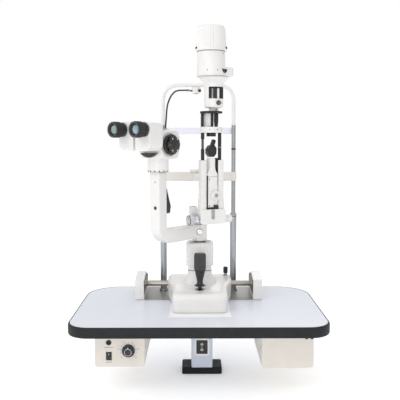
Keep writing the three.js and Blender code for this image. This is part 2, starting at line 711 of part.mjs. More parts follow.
function addLampHead(tower) {
  const { seam, capSeam, top, bodyRadius, bodyShift, boxEnd } = LAMP_HEAD;
  const window = { half: 19, bottom: 695, top: 723 };
  place(tower, "lamp_body", "white", cut(
    join(
      turned([
        [0, 666], [12, 666], [12, 673], [bodyRadius, 674], [bodyRadius, 726],
        [24, 731], [30, 738], [35, seam], [0, seam],
      ], FINE),
      alongY(5.5, -30, -20, 2, 685, 16),
    ),
    box(-window.half, window.half, -30, -13, window.bottom, window.top),
  ).translate(bodyShift, 0, 0));
  place(tower, "lamp_housing", "white", cut(
    join(
      turned([
        [0, seam + GAP], [34, seam + GAP], [34, 771], [33.5, 772], [33.5, capSeam], [0, capSeam],
      ], FINE),
      slab(0, boxEnd, -18, 18, seam + 3, 771, 8),
    ),
    upright(FILTER.radius + 1, FILTER.bottom - 0.6, FILTER.top + 0.6, FILTER.x, FILTER.y),
  ));
  const wheel = gearShape(FILTER.notches, FILTER.radius - 0.6, FILTER.radius, 2, 1.5);
  place(tower, "filter_wheel", "black",
    raise(wheel, FILTER.bottom, FILTER.top).translate(FILTER.x, FILTER.y, 0));
  place(tower, "lamp_cap", "white", turned([
    [0, capSeam + GAP], [37, capSeam + GAP], [36.6, 812], [33.5, 856], [30, 865], [22, top], [0, top],
  ], FINE));
}

// ---- headrest ----
function headrestPost(x) {
  const { y, tubeRadius, rodRadius, tubeTop, rodTop } = HEADREST;
  const foot = TABLE.top + GAP;
  return turned([
    [0, foot], [tubeRadius + 3, foot], [tubeRadius + 3, foot + 5], [tubeRadius, foot + 6],
    [tubeRadius, tubeTop],
    [rodRadius, tubeTop], [rodRadius, 570], [rodRadius + 0.7, 570], [rodRadius + 0.7, 574], [rodRadius, 574],
    [rodRadius, rodTop], [0, rodTop],
  ]).translate(x, y, 0);
}

function bowPath() {
  const { y, half, rodTop, top, bowRadius } = HEADREST;
  const bend = 38;
  const roof = top - bowRadius;
  const path = new THREE.CurvePath();
  const point = (x, z) => new THREE.Vector3(x, y, z);
  const quarter = (from, corner, to) => new THREE.CubicBezierCurve3(
    from, from.clone().lerp(corner, 0.55), to.clone().lerp(corner, 0.55), to);
  path.add(new THREE.LineCurve3(point(-half, rodTop + GAP), point(-half, roof - bend)));
  path.add(quarter(point(-half, roof - bend), point(-half, roof), point(-half + bend, roof)));
  path.add(new THREE.LineCurve3(point(-half + bend, roof), point(half - bend, roof)));
  path.add(quarter(point(half - bend, roof), point(half, roof), point(half, roof - bend)));
  path.add(new THREE.LineCurve3(point(half, roof - bend), point(half, rodTop + GAP)));
  return path;
}

// A band between the rods, bowed towards the operator in its middle.
function bandShape(half, offset, bow, thickness) {
  const shape = new THREE.Shape();
  shape.moveTo(-half, offset);
  shape.quadraticCurveTo(0, offset - 2 * bow, half, offset);
  shape.lineTo(half, offset + thickness);
  shape.quadraticCurveTo(0, offset - 2 * bow + thickness, -half, offset + thickness);
  return shape;
}

function addHeadrest() {
  const { y, half, rodRadius } = HEADREST;
  const frame = group(slitLamp, 0, y);
  const sleeve = rodRadius + 2.2;
  place(slitLamp, "left_headrest_post", "steel", headrestPost(-half));
  place(slitLamp, "right_headrest_post", "steel", headrestPost(half));
  place(slitLamp, "headrest_bow", "white", bar(bowPath(), HEADREST.bowRadius, 26));
  const band = bandShape(half + rodRadius, rodRadius + 1.2, 8, 4);
  place(frame, "forehead_band", "laminate", raise(band, BAND.bottom, BAND.top, 8));
  place(frame, "chin_bar", "beige", cut(
    join(
      raise(bandShape(half, -4, 6, 8), CHIN.bottom, CHIN.top, 8),
      upright(sleeve, CHIN.bottom, CHIN.top, -half),
      upright(sleeve, CHIN.bottom, CHIN.top, half),
      upright(CHIN.boss, CHIN.bottom, CHIN.top, 0, CHIN.y),
    ),
    upright(rodRadius + GAP, CHIN.bottom - 9, CHIN.top + 9, -half, 0),
    upright(rodRadius + GAP, CHIN.bottom - 9, CHIN.top + 9, half, 0),
    upright(CHIN.stem + CLEARANCE, CHIN.bottom - 9, CHIN.top + 9, 0, CHIN.y),
    alongY(CHIN.shaft + CLEARANCE, CHIN.y - CHIN.boss - 9, CHIN.y, 0, CHIN.knobZ),
  ));
  const cupFloor = CHIN.top + GAP;
  place(frame, "chin_cup", "beige", cut(
    join(
      slab(-23, 23, -28, 16, cupFloor, cupFloor + 6, 16),
      upright(CHIN.stem, CHIN.bottom + GAP, cupFloor + 1, 0, CHIN.y),
    ),
    new THREE.SphereGeometry(60, 16, 8).scale(0.33, 0.32, 0.07).translate(0, CHIN.y, cupFloor + 7),
  ));
  const bossFront = CHIN.y - CHIN.boss;
  place(frame, "chin_height_knob", "white", join(
    alongY(7.5, bossFront - 11, bossFront - GAP, 0, CHIN.knobZ),
    alongY(CHIN.shaft, bossFront - 1, CHIN.y - CHIN.stem - CLEARANCE, 0, CHIN.knobZ),
  ));
  addFixationArm(frame);
}

function addFixationArm(frame) {
  const roof = HEADREST.top - 2 * HEADREST.bowRadius;
  const pivotX = -6;
  const start = new THREE.Vector3(pivotX - 8, -4, roof - 11);
  const route = new THREE.CatmullRomCurve3([
    start,
    new THREE.Vector3(-34, -20, roof - 10),
    new THREE.Vector3(-62, -42, roof - 16),
    new THREE.Vector3(-79, -56, roof - 46),
    new THREE.Vector3(-84, -62, roof - 90),
    new THREE.Vector3(-86, -63, roof - 122),
  ]);
  place(frame, "fixation_arm", "black", join(
    turned([[0, roof - 17], [11, roof - 16], [12.5, roof - 12], [12.5, roof - GAP], [0, roof - GAP]])
      .translate(pivotX, 0, 0),
    bar(route, 2.2, 18, 6),
    alongY(7, -68, -46, -86, roof - 124, 16),
  ));
}

// ---- build ----
addColumn();
addSwitchPanel();
addTable();
addPowerBox();
addDrawer();
addRail("right_rail", 1);
addRail("left_rail", -1);
addAxle();
addHeadrest();

const instrument = group(slitLamp, PIVOT.x, PIVOT.y);
addBase(instrument);
addJoystick(instrument);
addPost(instrument);

const scope = group(instrument, 0, 0, SCOPE_SWING);
addMicroscope(scope);
addBinocular(scope, "left", -1);
addBinocular(scope, "right", 1);

const lamp = group(instrument, 0, 0, LAMP_SWING);
addIlluminationArm(lamp);
addYoke(lamp);
addTower(lamp);

export default slitLamp;
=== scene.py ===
"""The slit lamp's looks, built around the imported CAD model. Metres, in the model's own frame."""
import json
import math

import bmesh
import bpy
from mathutils import Matrix, Vector


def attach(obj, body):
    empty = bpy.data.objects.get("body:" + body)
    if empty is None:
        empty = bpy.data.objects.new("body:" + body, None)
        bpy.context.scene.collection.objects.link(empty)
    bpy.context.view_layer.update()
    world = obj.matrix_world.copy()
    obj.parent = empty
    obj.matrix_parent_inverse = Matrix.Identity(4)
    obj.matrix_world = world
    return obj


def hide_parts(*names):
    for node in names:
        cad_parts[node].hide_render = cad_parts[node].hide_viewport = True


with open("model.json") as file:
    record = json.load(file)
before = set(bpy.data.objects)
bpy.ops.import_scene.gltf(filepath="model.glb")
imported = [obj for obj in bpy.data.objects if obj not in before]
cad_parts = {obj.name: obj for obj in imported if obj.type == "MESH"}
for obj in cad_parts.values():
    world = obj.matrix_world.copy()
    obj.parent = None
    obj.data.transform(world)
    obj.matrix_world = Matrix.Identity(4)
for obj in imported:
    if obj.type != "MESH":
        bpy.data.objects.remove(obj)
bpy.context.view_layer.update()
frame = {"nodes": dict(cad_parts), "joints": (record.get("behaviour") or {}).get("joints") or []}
NODES = frame["nodes"]
JOINTS = {joint["name"]: joint for joint in frame["joints"]}
MM = 0.001
# Heights below are in millimetres, from a level that puts the top of the table at 183.
LEVEL = max(vertex.co.z for vertex in NODES["tabletop"].data.vertices) - 183 * MM

# the camera stands where it sees the object at the reference view's angle (metres, degrees)
CAMERA_PLACE = (-0.0085, -1.5777, 0.6013 + LEVEL)
CAMERA_LENS, SENSOR_WIDTH = 57.4, 36.0
CAMERA_DIP, CAMERA_TURN = 5.55, -0.43
WORLD_LOW, WORLD_HIGH = 0.5, 0.95
KEY_POWER, FILL_POWER, RIM_POWER = 15, 12, 8
FLOOR_REACH, FLOOR_GLOW = 9.0, 0.22

# sizes that several pieces share
TABLE_FRONT_RADIUS, TABLE_BACK_RADIUS = 52, 90
SHEET = 2.5
GEAR_TEETH, GEAR_RADIUS = 20, 12
TOOTH_ROOT, TOOTH_TIP = 0.85, 0.45  # half the width of a tooth
RACK_REACH = 15  # teeth each way from the axle
AXLE_RADIUS, SLEEVE_BORE = 7.7, 11.7
SPINDLE_BORE, SHAFT_BORE = 11.4, 4.4
ROD_OFFSET = 22.5  # of the tower's two rods from its middle


# ---- camera, floor and light ----
def add_camera():
    camera = bpy.data.cameras.new("camera")
    camera.sensor_width = SENSOR_WIDTH
    camera.lens = CAMERA_LENS
    holder = bpy.data.objects.new("camera", camera)
    bpy.context.scene.collection.objects.link(holder)
    holder.location = CAMERA_PLACE
    holder.rotation_euler = (math.radians(90 - CAMERA_DIP), 0, math.radians(CAMERA_TURN))
    bpy.context.scene.camera = holder


def add_area_light(name, place, target, size, power):
    light = bpy.data.lights.new(name, "AREA")
    light.size = size
    light.energy = power
    holder = bpy.data.objects.new(name, light)
    bpy.context.scene.collection.objects.link(holder)
    holder.location = place
    holder.rotation_euler = (Vector(target) - Vector(place)).to_track_quat("-Z", "Y").to_euler()


def add_world():
    """A white backdrop that lights the object softly: brighter from above than from below."""
    world = bpy.data.worlds.new("studio")
    world.use_nodes = True
    tree = world.node_tree
    background = tree.nodes["Background"]
    seen = tree.nodes.new("ShaderNodeLightPath").outputs["Is Camera Ray"]
    direction = tree.nodes.new("ShaderNodeSeparateXYZ")
    tree.links.new(tree.nodes.new("ShaderNodeTexCoord").outputs["Generated"], direction.inputs["Vector"])
    glow = tree.nodes.new("ShaderNodeMapRange")
    glow.inputs["From Min"].default_value = -0.4
    glow.inputs["To Min"].default_value = WORLD_LOW
    glow.inputs["To Max"].default_value = WORLD_HIGH
    tree.links.new(direction.outputs["Z"], glow.inputs["Value"])
    strength = tree.nodes.new("ShaderNodeMix")
    tree.links.new(seen, strength.inputs["Factor"])
    tree.links.new(glow.outputs["Result"], strength.inputs["A"])
    strength.inputs["B"].default_value = 1.0
    tree.links.new(strength.outputs["Result"], background.inputs["Strength"])
    background.inputs["Color"].default_value = (1, 1, 1, 1)
    bpy.context.scene.world = world
    bpy.context.scene.view_settings.view_transform = "Standard"


def add_stage():
    mesh = bpy.data.meshes.new("floor")
    corners = [(x * FLOOR_REACH, y * FLOOR_REACH, 0) for x, y in ((-1, -1), (1, -1), (1, 1), (-1, 1))]
    mesh.from_pydata(corners, [], [(0, 1, 2, 3)])
    floor = bpy.data.objects.new("floor", mesh)
    bpy.context.scene.collection.objects.link(floor)
    material = bpy.data.materials.new("floor")
    material.use_nodes = True
    shader = material.node_tree.nodes["Principled BSDF"]
    shader.inputs["Base Color"].default_value = (0.95, 0.95, 0.95, 1)
    shader.inputs["Roughness"].default_value = 0.9
    shader.inputs["Emission Color"].default_value = (1, 1, 1, 1)
    shader.inputs["Emission Strength"].default_value = FLOOR_GLOW
    mesh.materials.append(material)
    add_world()
    middle = (0, 0, 0.45)
    add_area_light("key", (-1.6, -1.4, 2.1), middle, 1.4, KEY_POWER)
    add_area_light("fill", (-0.5, -2.6, 0.5), middle, 1.8, FILL_POWER)
    add_area_light("rim", (0.6, 2.2, 1.8), middle, 1.4, RIM_POWER)


add_camera()
add_stage()


# ---- materials ----
def noise_node(tree, scale, detail=3.0, stretch=(1, 1, 1)):
    """Noise over the object's own coordinates, finer along the axes that stretch makes larger."""
    coordinates = tree.nodes.new("ShaderNodeTexCoord")
    mapping = tree.nodes.new("ShaderNodeMapping")
    mapping.inputs["Scale"].default_value = stretch
    noise = tree.nodes.new("ShaderNodeTexNoise")
    noise.inputs["Scale"].default_value = scale
    noise.inputs["Detail"].default_value = detail
    tree.links.new(coordinates.outputs["Object"], mapping.inputs["Vector"])
    tree.links.new(mapping.outputs["Vector"], noise.inputs["Vector"])
    return noise.outputs["Fac"]


def spread(tree, value, low, high, start=0.3, end=0.7):
    """Maps a value from start..end to low..high."""
    mapped = tree.nodes.new("ShaderNodeMapRange")
    mapped.inputs["From Min"].default_value = start
    mapped.inputs["From Max"].default_value = end
    mapped.inputs["To Min"].default_value = low
    mapped.inputs["To Max"].default_value = high
    tree.links.new(value, mapped.inputs["Value"])
    return mapped.outputs["Result"]


def mix_colours(tree, factor, first, second):
    mixer = tree.nodes.new("ShaderNodeMix")
    mixer.data_type = "RGBA"
    tree.links.new(factor, mixer.inputs["Factor"])
    for socket, value in ((mixer.inputs["A"], first), (mixer.inputs["B"], second)):
        if isinstance(value, tuple):
            socket.default_value = (*value, 1)
        else:
            tree.links.new(value, socket)
    return mixer.outputs["Result"]


def shade(colour, factor):
    return tuple(channel * factor for channel in colour)


def finish(name, colour, roughness, metallic=0.0, coat=0.0, mottle=0.06, mottle_scale=25, grain_scale=900,
           grain=0.05, stretch=(1, 1, 1), rough_spread=0.08, wear=0.0, worn=(0.5, 0.5, 0.5), specular=0.5,
           painted_turn_shade=1.0):
    """A surface with slow colour mottling, uneven roughness, a fine grain in relief and worn edges.
    The turning shade, where set, paints shade into the colour where the surface turns away from view,
    standing in for the darker reflections polished metal shows in a white room."""
    material = bpy.data.materials.new(name)
    material.use_nodes = True
    tree = material.node_tree
    shader = tree.nodes["Principled BSDF"]
    shader.inputs["Metallic"].default_value = metallic
    shader.inputs["Coat Weight"].default_value = coat
    shader.inputs["Coat Roughness"].default_value = 0.08
    shader.inputs["Specular IOR Level"].default_value = specular
    slow = noise_node(tree, mottle_scale, 4.0)
    fine = noise_node(tree, grain_scale, 2.0, stretch)
    base = mix_colours(tree, spread(tree, slow, 0, 1), shade(colour, 1 - mottle),
                       shade(colour, 1 + mottle / 2))
    if stretch != (1, 1, 1):
        base = mix_colours(tree, spread(tree, fine, 0, 0.35), base, shade(colour, 0.7))
    if wear:
        edges = tree.nodes.new("ShaderNodeNewGeometry").outputs["Pointiness"]
        rubbed = spread(tree, edges, 0, wear, 0.52, 0.62)
        base = mix_colours(tree, rubbed, base, worn)
    # painted reflection shade: the colour is darkened where the surface turns away from view
    if painted_turn_shade < 1:
        facing = tree.nodes.new("ShaderNodeLayerWeight")
        facing.inputs["Blend"].default_value = 0.4
        away = tree.nodes.new("ShaderNodeMix")
        away.data_type = "RGBA"
        away.blend_type = "MULTIPLY"
        tree.links.new(spread(tree, facing.outputs["Facing"], 0, 1, 0.25, 0.75), away.inputs["Factor"])
        tree.links.new(base, away.inputs["A"])
        away.inputs["B"].default_value = (painted_turn_shade, painted_turn_shade, painted_turn_shade, 1)
        base = away.outputs["Result"]
    tree.links.new(base, shader.inputs["Base Color"])
    uneven = noise_node(tree, mottle_scale * 6, 5.0, stretch)
    rough = spread(tree, uneven, roughness - rough_spread / 2, roughness + rough_spread)
    tree.links.new(rough, shader.inputs["Roughness"])
    bump = tree.nodes.new("ShaderNodeBump")
    bump.inputs["Strength"].default_value = grain
    bump.inputs["Distance"].default_value = 0.0004
    tree.links.new(fine, bump.inputs["Height"])
    tree.links.new(bump.outputs["Normal"], shader.inputs["Normal"])
    return material


def lens_glass(name, rim, centre):
    """Coated glass: the coating's tint drifts between its rim and centre colours in slow patches, and a pale
    painted reflection lightens it where it turns away from view.
    """
    material = bpy.data.materials.new(name)
    material.use_nodes = True
    tree = material.node_tree
    shader = tree.nodes["Principled BSDF"]
    shader.inputs["Roughness"].default_value = 0.03
    shader.inputs["Coat Weight"].default_value = 1.0
    shader.inputs["Coat Roughness"].default_value = 0.02
    facing = tree.nodes.new("ShaderNodeLayerWeight")
    facing.inputs["Blend"].default_value = 0.35
    drift = noise_node(tree, 55, 1.0)
    tint = mix_colours(tree, spread(tree, drift, 0, 1, 0.35, 0.65), rim, centre)
    # painted reflection: pale grey mixed into the colour where the glass turns away from view
    tree.links.new(mix_colours(tree, facing.outputs["Facing"], tint, (0.75, 0.8, 0.8)),
                   shader.inputs["Base Color"])
    return material


def make_finishes():
    white = (0.80, 0.79, 0.775)
    black = (0.018, 0.018, 0.020)
    return {
        "enamel": finish("white_enamel", white, 0.26, coat=0.35, mottle=0.03, grain_scale=420, grain=0.015,
                         rough_spread=0.05),
        "casting": finish("white_casting", white, 0.3, coat=0.3, mottle=0.03, grain_scale=330, grain=0.02,
                          rough_spread=0.05),
        "moulding": finish("white_plastic", (0.82, 0.81, 0.795), 0.32, mottle=0.03,
                           grain_scale=1500, grain=0.05),
        "plate": finish("white_plate", (0.93, 0.93, 0.94), 0.4, mottle=0.03, grain_scale=900, grain=0.04),
        # painted shade: a grey copy of the white enamel, laid in recesses, tunnels and rings where shade
        # falls; the prism column's printed ticks use the same grey
        "shaded": finish("shaded_enamel", (0.46, 0.45, 0.43), 0.4, mottle=0.08),
        "cream": finish("cream_powder_coat", (0.72, 0.675, 0.62), 0.5, mottle=0.04,
                        grain_scale=1400, grain=0.22),
        "print": finish("print_grey", (0.13, 0.13, 0.14), 0.5, mottle=0.1),
        "pale_print": finish("print_white", (0.62, 0.64, 0.66), 0.45, mottle=0.1),
        "red_print": finish("print_red", (0.6, 0.03, 0.03), 0.45, mottle=0.1),
        "laminate": finish("laminate", (0.74, 0.765, 0.83), 0.3, mottle=0.012, mottle_scale=9,
                           grain_scale=2200, grain=0.02, rough_spread=0.03),
        # painted shade: this dark grey brushed sheet stands in for the shade under the axle on the glide
        # plate's back part
        "sheet": finish("brushed_sheet_painted_shade", (0.40, 0.39, 0.38), 0.36, metallic=0.5, mottle=0.05, grain_scale=200,
                        grain=0.04, stretch=(0.4, 8, 8), rough_spread=0.06),
        "edging": finish("edge_rubber", (0.017, 0.018, 0.021), 0.5, mottle=0.2, grain_scale=700, grain=0.08,
                         specular=0.25),
        "foot": finish("foot_paint", (0.010, 0.011, 0.013), 0.55, mottle=0.25, grain_scale=1100, grain=0.2,
                       wear=0.3, worn=(0.06, 0.06, 0.065), specular=0.2),
        "black": finish("black_plastic", black, 0.28, mottle=0.2, grain_scale=1300, grain=0.08),
        "anodised": finish("black_anodised", (0.02, 0.02, 0.022), 0.36, mottle=0.2, grain_scale=1800,
                           grain=0.1, wear=0.2, worn=(0.08, 0.08, 0.085), specular=0.35),
        "grip": finish("grip_plastic", (0.05, 0.05, 0.053), 0.55, mottle=0.15, grain_scale=1500, grain=0.25),
        "rubber": finish("eyepiece_rubber", (0.016, 0.016, 0.018), 0.5, mottle=0.2,
                         grain_scale=1200, grain=0.2),
        "gear": finish("gear_steel", (0.10, 0.095, 0.09), 0.45, metallic=0.7, mottle=0.2, grain_scale=300),
        # painted reflection shade on this steel where it turns away from view
        "steel": finish("satin_steel", (0.43, 0.45, 0.47), 0.3, metallic=0.75, mottle=0.08, grain_scale=160,
                        grain=0.06, stretch=(6, 6, 0.4), painted_turn_shade=0.4),
        "axle": finish("ground_steel", (0.56, 0.52, 0.46), 0.3, metallic=0.9, mottle=0.12, grain_scale=160,
                       grain=0.1, stretch=(8, 0.6, 0.6)),
        # painted reflection shade on this chrome where it turns away from view
        "chrome": finish("bright_chrome", (0.72, 0.73, 0.75), 0.12, metallic=1.0, mottle=0.05,
                         grain_scale=500, grain=0.02, rough_spread=0.06, painted_turn_shade=0.45),
        "column": finish("column_aluminium", (0.60, 0.65, 0.74), 0.4, metallic=0.3, mottle=0.06,
                         grain_scale=150, grain=0.08, stretch=(9, 9, 0.3)),
        "strap": finish("forehead_strap", (0.86, 0.87, 0.96), 0.42, mottle=0.03,
                        grain_scale=1400, grain=0.08),
        "beige": finish("chin_beige", (0.77, 0.74, 0.69), 0.45, mottle=0.05, grain_scale=900, grain=0.12),
        "winding": finish("copper_winding", (0.35, 0.13, 0.05), 0.4, metallic=0.6, mottle=0.2,
                          stretch=(1, 30, 1)),
        # dark seams between parts, and painted shade: dark blocks, strips and rings laid in gaps where shade
        # falls
        "seam": finish("dark_seam_and_gap_shade", (0.02, 0.019, 0.018), 0.7, mottle=0.3),
        "left_lens": lens_glass("left_lens_coating", (0.03, 0.12, 0.10), (0.16, 0.34, 0.27)),
        "right_lens": lens_glass("right_lens_coating", (0.02, 0.14, 0.19), (0.20, 0.34, 0.42)),
        "dark_lens": lens_glass("objective_coating", (0.03, 0.05, 0.09), (0.10, 0.12, 0.2)),
    }


FINISHES = make_finishes()


# ---- where things are: a frame of reference measured in millimetres ----
class Place:
    def __init__(self, origin=(0, 0), heading=0.0):
        turn = Matrix.Rotation(math.radians(heading), 4, "Z")
        self.matrix = Matrix.Translation((origin[0], origin[1], LEVEL)) @ turn @ Matrix.Scale(MM, 4)
        self.inverse = self.matrix.inverted()

    def span(self, node):
        """A CAD node's lowest and highest corners in this frame, in millimetres."""
        points = [self.inverse @ vertex.co for vertex in NODES[node].data.vertices]
        low = Vector(min(point[i] for point in points) for i in range(3))
        high = Vector(max(point[i] for point in points) for i in range(3))
        return low, high

    def middle(self, node):
        """The middle of a CAD node's box in this frame."""
        return sum(self.span(node), Vector((0, 0, 0))) / 2

    def point(self, joint):
        """A joint's point in this frame."""
        return self.inverse @ Vector(JOINTS[joint]["pos_m"])


def heading(joint):
    axis = JOINTS[joint]["axis"]
    return math.degrees(math.atan2(axis[1], axis[0]))


PIVOT = JOINTS["microscope_swing"]["pos_m"][:2]
ROOM = Place()
INSTRUMENT = Place(PIVOT)
SCOPE = Place(PIVOT, heading("magnification_turn"))
LAMP = Place(PIVOT, heading("tower_tilt"))
TOWER_Y = LAMP.middle("tower_frame").y


# ---- outlines ----
def soften(points, radius, closed=False, steps=3):
    """Rounds the corners of a polyline."""
    count = len(points)
    vectors = [Vector(point) for point in points]
    made = []
    for i, corner in enumerate(vectors):
        if not closed and i in (0, count - 1):
            made.append(corner)
            continue
        back = vectors[i - 1] - corner
        ahead = vectors[(i + 1) % count] - corner
        reach = min(radius, back.length * 0.45, ahead.length * 0.45)
        if reach < 1e-4:
            made.append(corner)
            continue
        start = corner + back.normalized() * reach
        end = corner + ahead.normalized() * reach
        for step in range(steps + 1):
            t = step / steps
            made.append(start * (1 - t) ** 2 + corner * (2 * t * (1 - t)) + end * t ** 2)
    return made


def arc(centre, radius, start, end, steps=8):
    """Points on an arc, from start to end in degrees."""
    angles = [math.radians(start + (end - start) * k / steps) for k in range(steps + 1)]
    return [Vector((centre[0] + radius * math.cos(a), centre[1] + radius * math.sin(a))) for a in angles]


def rounded_rectangle(x0, x1, y0, y1, radii, steps=8):
    """The radii run anticlockwise from the corner at (x1, y0)."""
    points = []
    for k, radius in enumerate(radii):
        x = x1 - radius if k < 2 else x0 + radius
        y = y1 - radius if k in (1, 2) else y0 + radius
        points += arc((x, y), radius, 90 * k - 90, 90 * k, steps)
    return points


def circle(radius, centre=(0, 0), steps=48):
    return arc(centre, radius, 0, 360, steps)[:-1]


# ---- shapes, in millimetres ----
def tidy(shape):
    bmesh.ops.remove_doubles(shape, verts=shape.verts, dist=1e-4)
    bmesh.ops.recalc_face_normals(shape, faces=shape.faces)
    return shape


def skin(rings, closed=False):
    """A surface through rings of points. Its ends are capped, unless the last ring meets the first."""
    shape = bmesh.new()
    made = [[shape.verts.new(point) for point in ring] for ring in rings]
    pairs = list(zip(made, made[1:])) + ([(made[-1], made[0])] if closed else [])
    for low, high in pairs:
        count = max(len(low), len(high))
        for k in range(count):
            n = (k + 1) % count
            corners = [low[k % len(low)], low[n % len(low)], high[n % len(high)], high[k % len(high)]]
            unique = list(dict.fromkeys(corners))
            if len(unique) > 2:
                shape.faces.new(unique)
    if not closed:
        for ring in (made[0], made[-1]):
            if len(ring) > 2:
                shape.faces.new(ring)
    return tidy(shape)


def turned(profile, soft=0.6, segments=48, ripple=None, closed=False):
    """A turned shape about Z, from (radius, height) points.
    ripple, where given, makes a new radius from the angle, the radius and the height."""
    rings = []
    for radius, height in soften([Vector(point) for point in profile], soft, closed):
        if radius < 1e-4:
            rings.append([Vector((0, 0, height))])
            continue
        ring = []
        for k in range(segments):
            angle = 2 * math.pi * k / segments
            reach = ripple(angle, radius, height) if ripple else radius
            ring.append(Vector((reach * math.cos(angle), reach * math.sin(angle), height)))
        rings.append(ring)
    return skin(rings, closed)


def prism(outline, z0, z1, soft=0.6):
    """An outline raised from z0 to z1, with its rims softened."""
    shape = bmesh.new()
    base = shape.faces.new([shape.verts.new((point[0], point[1], z0)) for point in outline])
    raised = bmesh.ops.extrude_face_region(shape, geom=[base])
    moved = [item for item in raised["geom"] if isinstance(item, bmesh.types.BMVert)]
    bmesh.ops.translate(shape, verts=moved, vec=(0, 0, z1 - z0))
    tidy(shape)
    if soft:
        rims = [edge for edge in shape.edges if abs(edge.verts[0].co.z - edge.verts[1].co.z) < 1e-6]
        bmesh.ops.bevel(shape, geom=rims, offset=soft, segments=3, profile=0.5, affect="EDGES")
    return shape


def block(low, high, soft=0.6):
    shape = bmesh.new()
    middle = (Vector(low) + Vector(high)) / 2
    size = Vector(high) - Vector(low)
    matrix = Matrix.Translation(middle) @ Matrix.Diagonal((*size, 1))
    bmesh.ops.create_cube(shape, size=1, matrix=matrix)
    if soft:
        bmesh.ops.bevel(shape, geom=list(shape.edges), offset=soft, segments=3, profile=0.5, affect="EDGES")
    return shape


def tube(points, radius, sides=20):
    """A round bar along a dense path; radius is a number, or a function of the share of the way along."""
    size = radius if callable(radius) else (lambda t: radius)
    count = len(points)
    across = None
    rings = [[points[0]]]
    for i, point in enumerate(points):
        ahead = (points[min(i + 1, count - 1)] - points[max(i - 1, 0)]).normalized()
        guide = across if across else ahead.orthogonal()
        across = (guide - ahead * guide.dot(ahead)).normalized()
        up = ahead.cross(across)
        reach = size(i / (count - 1))
        angles = [2 * math.pi * k / sides for k in range(sides)]
        rings.append([point + (across * math.cos(a) + up * math.sin(a)) * reach for a in angles])
    rings.append([points[-1]])
    return skin(rings)


def through(points, steps=8):
    """A smooth path through points."""
    made = []
    ends = [points[0] * 2 - points[1]] + list(points) + [points[-1] * 2 - points[-2]]
    for i in range(1, len(ends) - 2):
        a, b, c, d = ends[i - 1:i + 3]
        for step in range(steps):
            t = step / steps
            made.append(0.5 * (2 * b + (c - a) * t + (2 * a - 5 * b + 4 * c - d) * t ** 2
                               + (3 * b - a - 3 * c + d) * t ** 3))
    return made + [points[-1]]


def moved(shape, x=0.0, y=0.0, z=0.0):
    bmesh.ops.translate(shape, verts=shape.verts, vec=(x, y, z))
    return shape


def turned_by(shape, matrix):
    bmesh.ops.transform(shape, matrix=matrix, verts=shape.verts)
    return shape


UP_TO_X = Matrix(((0, 0, 1, 0), (1, 0, 0, 0), (0, 1, 0, 0), (0, 0, 0, 1)))
UP_TO_FRONT = Matrix(((1, 0, 0, 0), (0, 0, -1, 0), (0, 1, 0, 0), (0, 0, 0, 1)))


def along_x(shape, x=0.0, y=0.0, z=0.0):
    """Lays a shape's height along +X: its plan (a, b) becomes the side view (y, z)."""
    return moved(turned_by(shape, UP_TO_X), x, y, z)


def to_front(shape, x=0.0, y=0.0, z=0.0):
    """Points a shape's height at the operator, -Y: its plan (a, b) becomes the front view (x, z)."""
    return moved(turned_by(shape, UP_TO_FRONT), x, y, z)


def as_mesh(shape):
    mesh = bpy.data.meshes.new("shape")
    shape.to_mesh(mesh)
    shape.free()
    return mesh


def combined(operation, shape, tools):
    """A shape with others cut from it (DIFFERENCE), joined to it (UNION) or held in common (INTERSECT)."""
    objects = [bpy.data.objects.new("work", as_mesh(item)) for item in [shape, *tools]]
    for item in objects:
        bpy.context.scene.collection.objects.link(item)
    for tool in objects[1:]:
        modifier = objects[0].modifiers.new("combine", "BOOLEAN")
        modifier.operation = operation
        modifier.solver = "EXACT"
        modifier.object = tool
    evaluated = objects[0].evaluated_get(bpy.context.evaluated_depsgraph_get())
    made = bmesh.new()
    made.from_mesh(evaluated.to_mesh())
    evaluated.to_mesh_clear()
    for item in objects:
        mesh = item.data
        bpy.data.objects.remove(item)
        bpy.data.meshes.remove(mesh)
    return made


def carved(shape, *tools):
    return combined("DIFFERENCE", shape, tools)


def united(shape, *tools):
    return combined("UNION", shape, tools)


def piece(name, place, body, parts, node=None, sharp=32):
    """One object from (shape, finish) pairs. It rides on a body, and replaces a CAD node if one is named."""
    whole = bmesh.new()
    mesh = bpy.data.meshes.new(name)
    for index, (shape, look) in enumerate(parts):
        mesh.materials.append(FINISHES[look])
        for face in shape.faces:
            face.material_index = index
            face.smooth = True
        part = as_mesh(shape)
        whole.from_mesh(part)
        bpy.data.meshes.remove(part)
    bmesh.ops.transform(whole, matrix=place.matrix, verts=whole.verts)
    whole.to_mesh(mesh)
    whole.free()
    mesh.set_sharp_from_angle(angle=math.radians(sharp))
    made = bpy.data.objects.new(name, mesh)
    bpy.context.scene.collection.objects.link(made)
    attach(made, body)
    if node:
        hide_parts(node)
    return made


def remake(node, place, body, parts, sharp=32):
    """The fine version of a CAD node."""
    return piece(node + "_fine", place, body, parts, node, sharp)


def disc_screw(radius, height, slot_width=0.0, soft=0.3):
    """A low round screw head, with a slot across it."""
    head = turned([(0, 0), (radius, 0), (radius, height), (0, height)], soft, 24)
    if not slot_width:
        return head
    half = slot_width / 2
    return carved(head, block((-radius - 1, -half, height * 0.5), (radius + 1, half, height + 1), 0))


# ---- moulded shapes: an outline that can shrink, carried up a profile of (inset, height) ----
def slab_outline(x0, x1, y0, y1, *radii):
    """A rounded rectangle: one radius, or one low and one high, or four from the corner (x1, y0)."""
    corners = (radii[0], radii[1], radii[1], radii[0]) if len(radii) == 2 else (radii * 4)[:4]

    def outline(inset):
        shrunk = [max(radius - inset, 0.3) for radius in corners]
        return rounded_rectangle(x0 + inset, x1 - inset, y0 + inset, y1 - inset, shrunk)
    return outline


def lofted(outline, profile, soft=0.8, closed=False):
    rings = []
    for inset, height in soften([Vector(point) for point in profile], soft, closed):
        rings.append([Vector((point.x, point.y, height)) for point in outline(inset)])
    return skin(rings, closed)


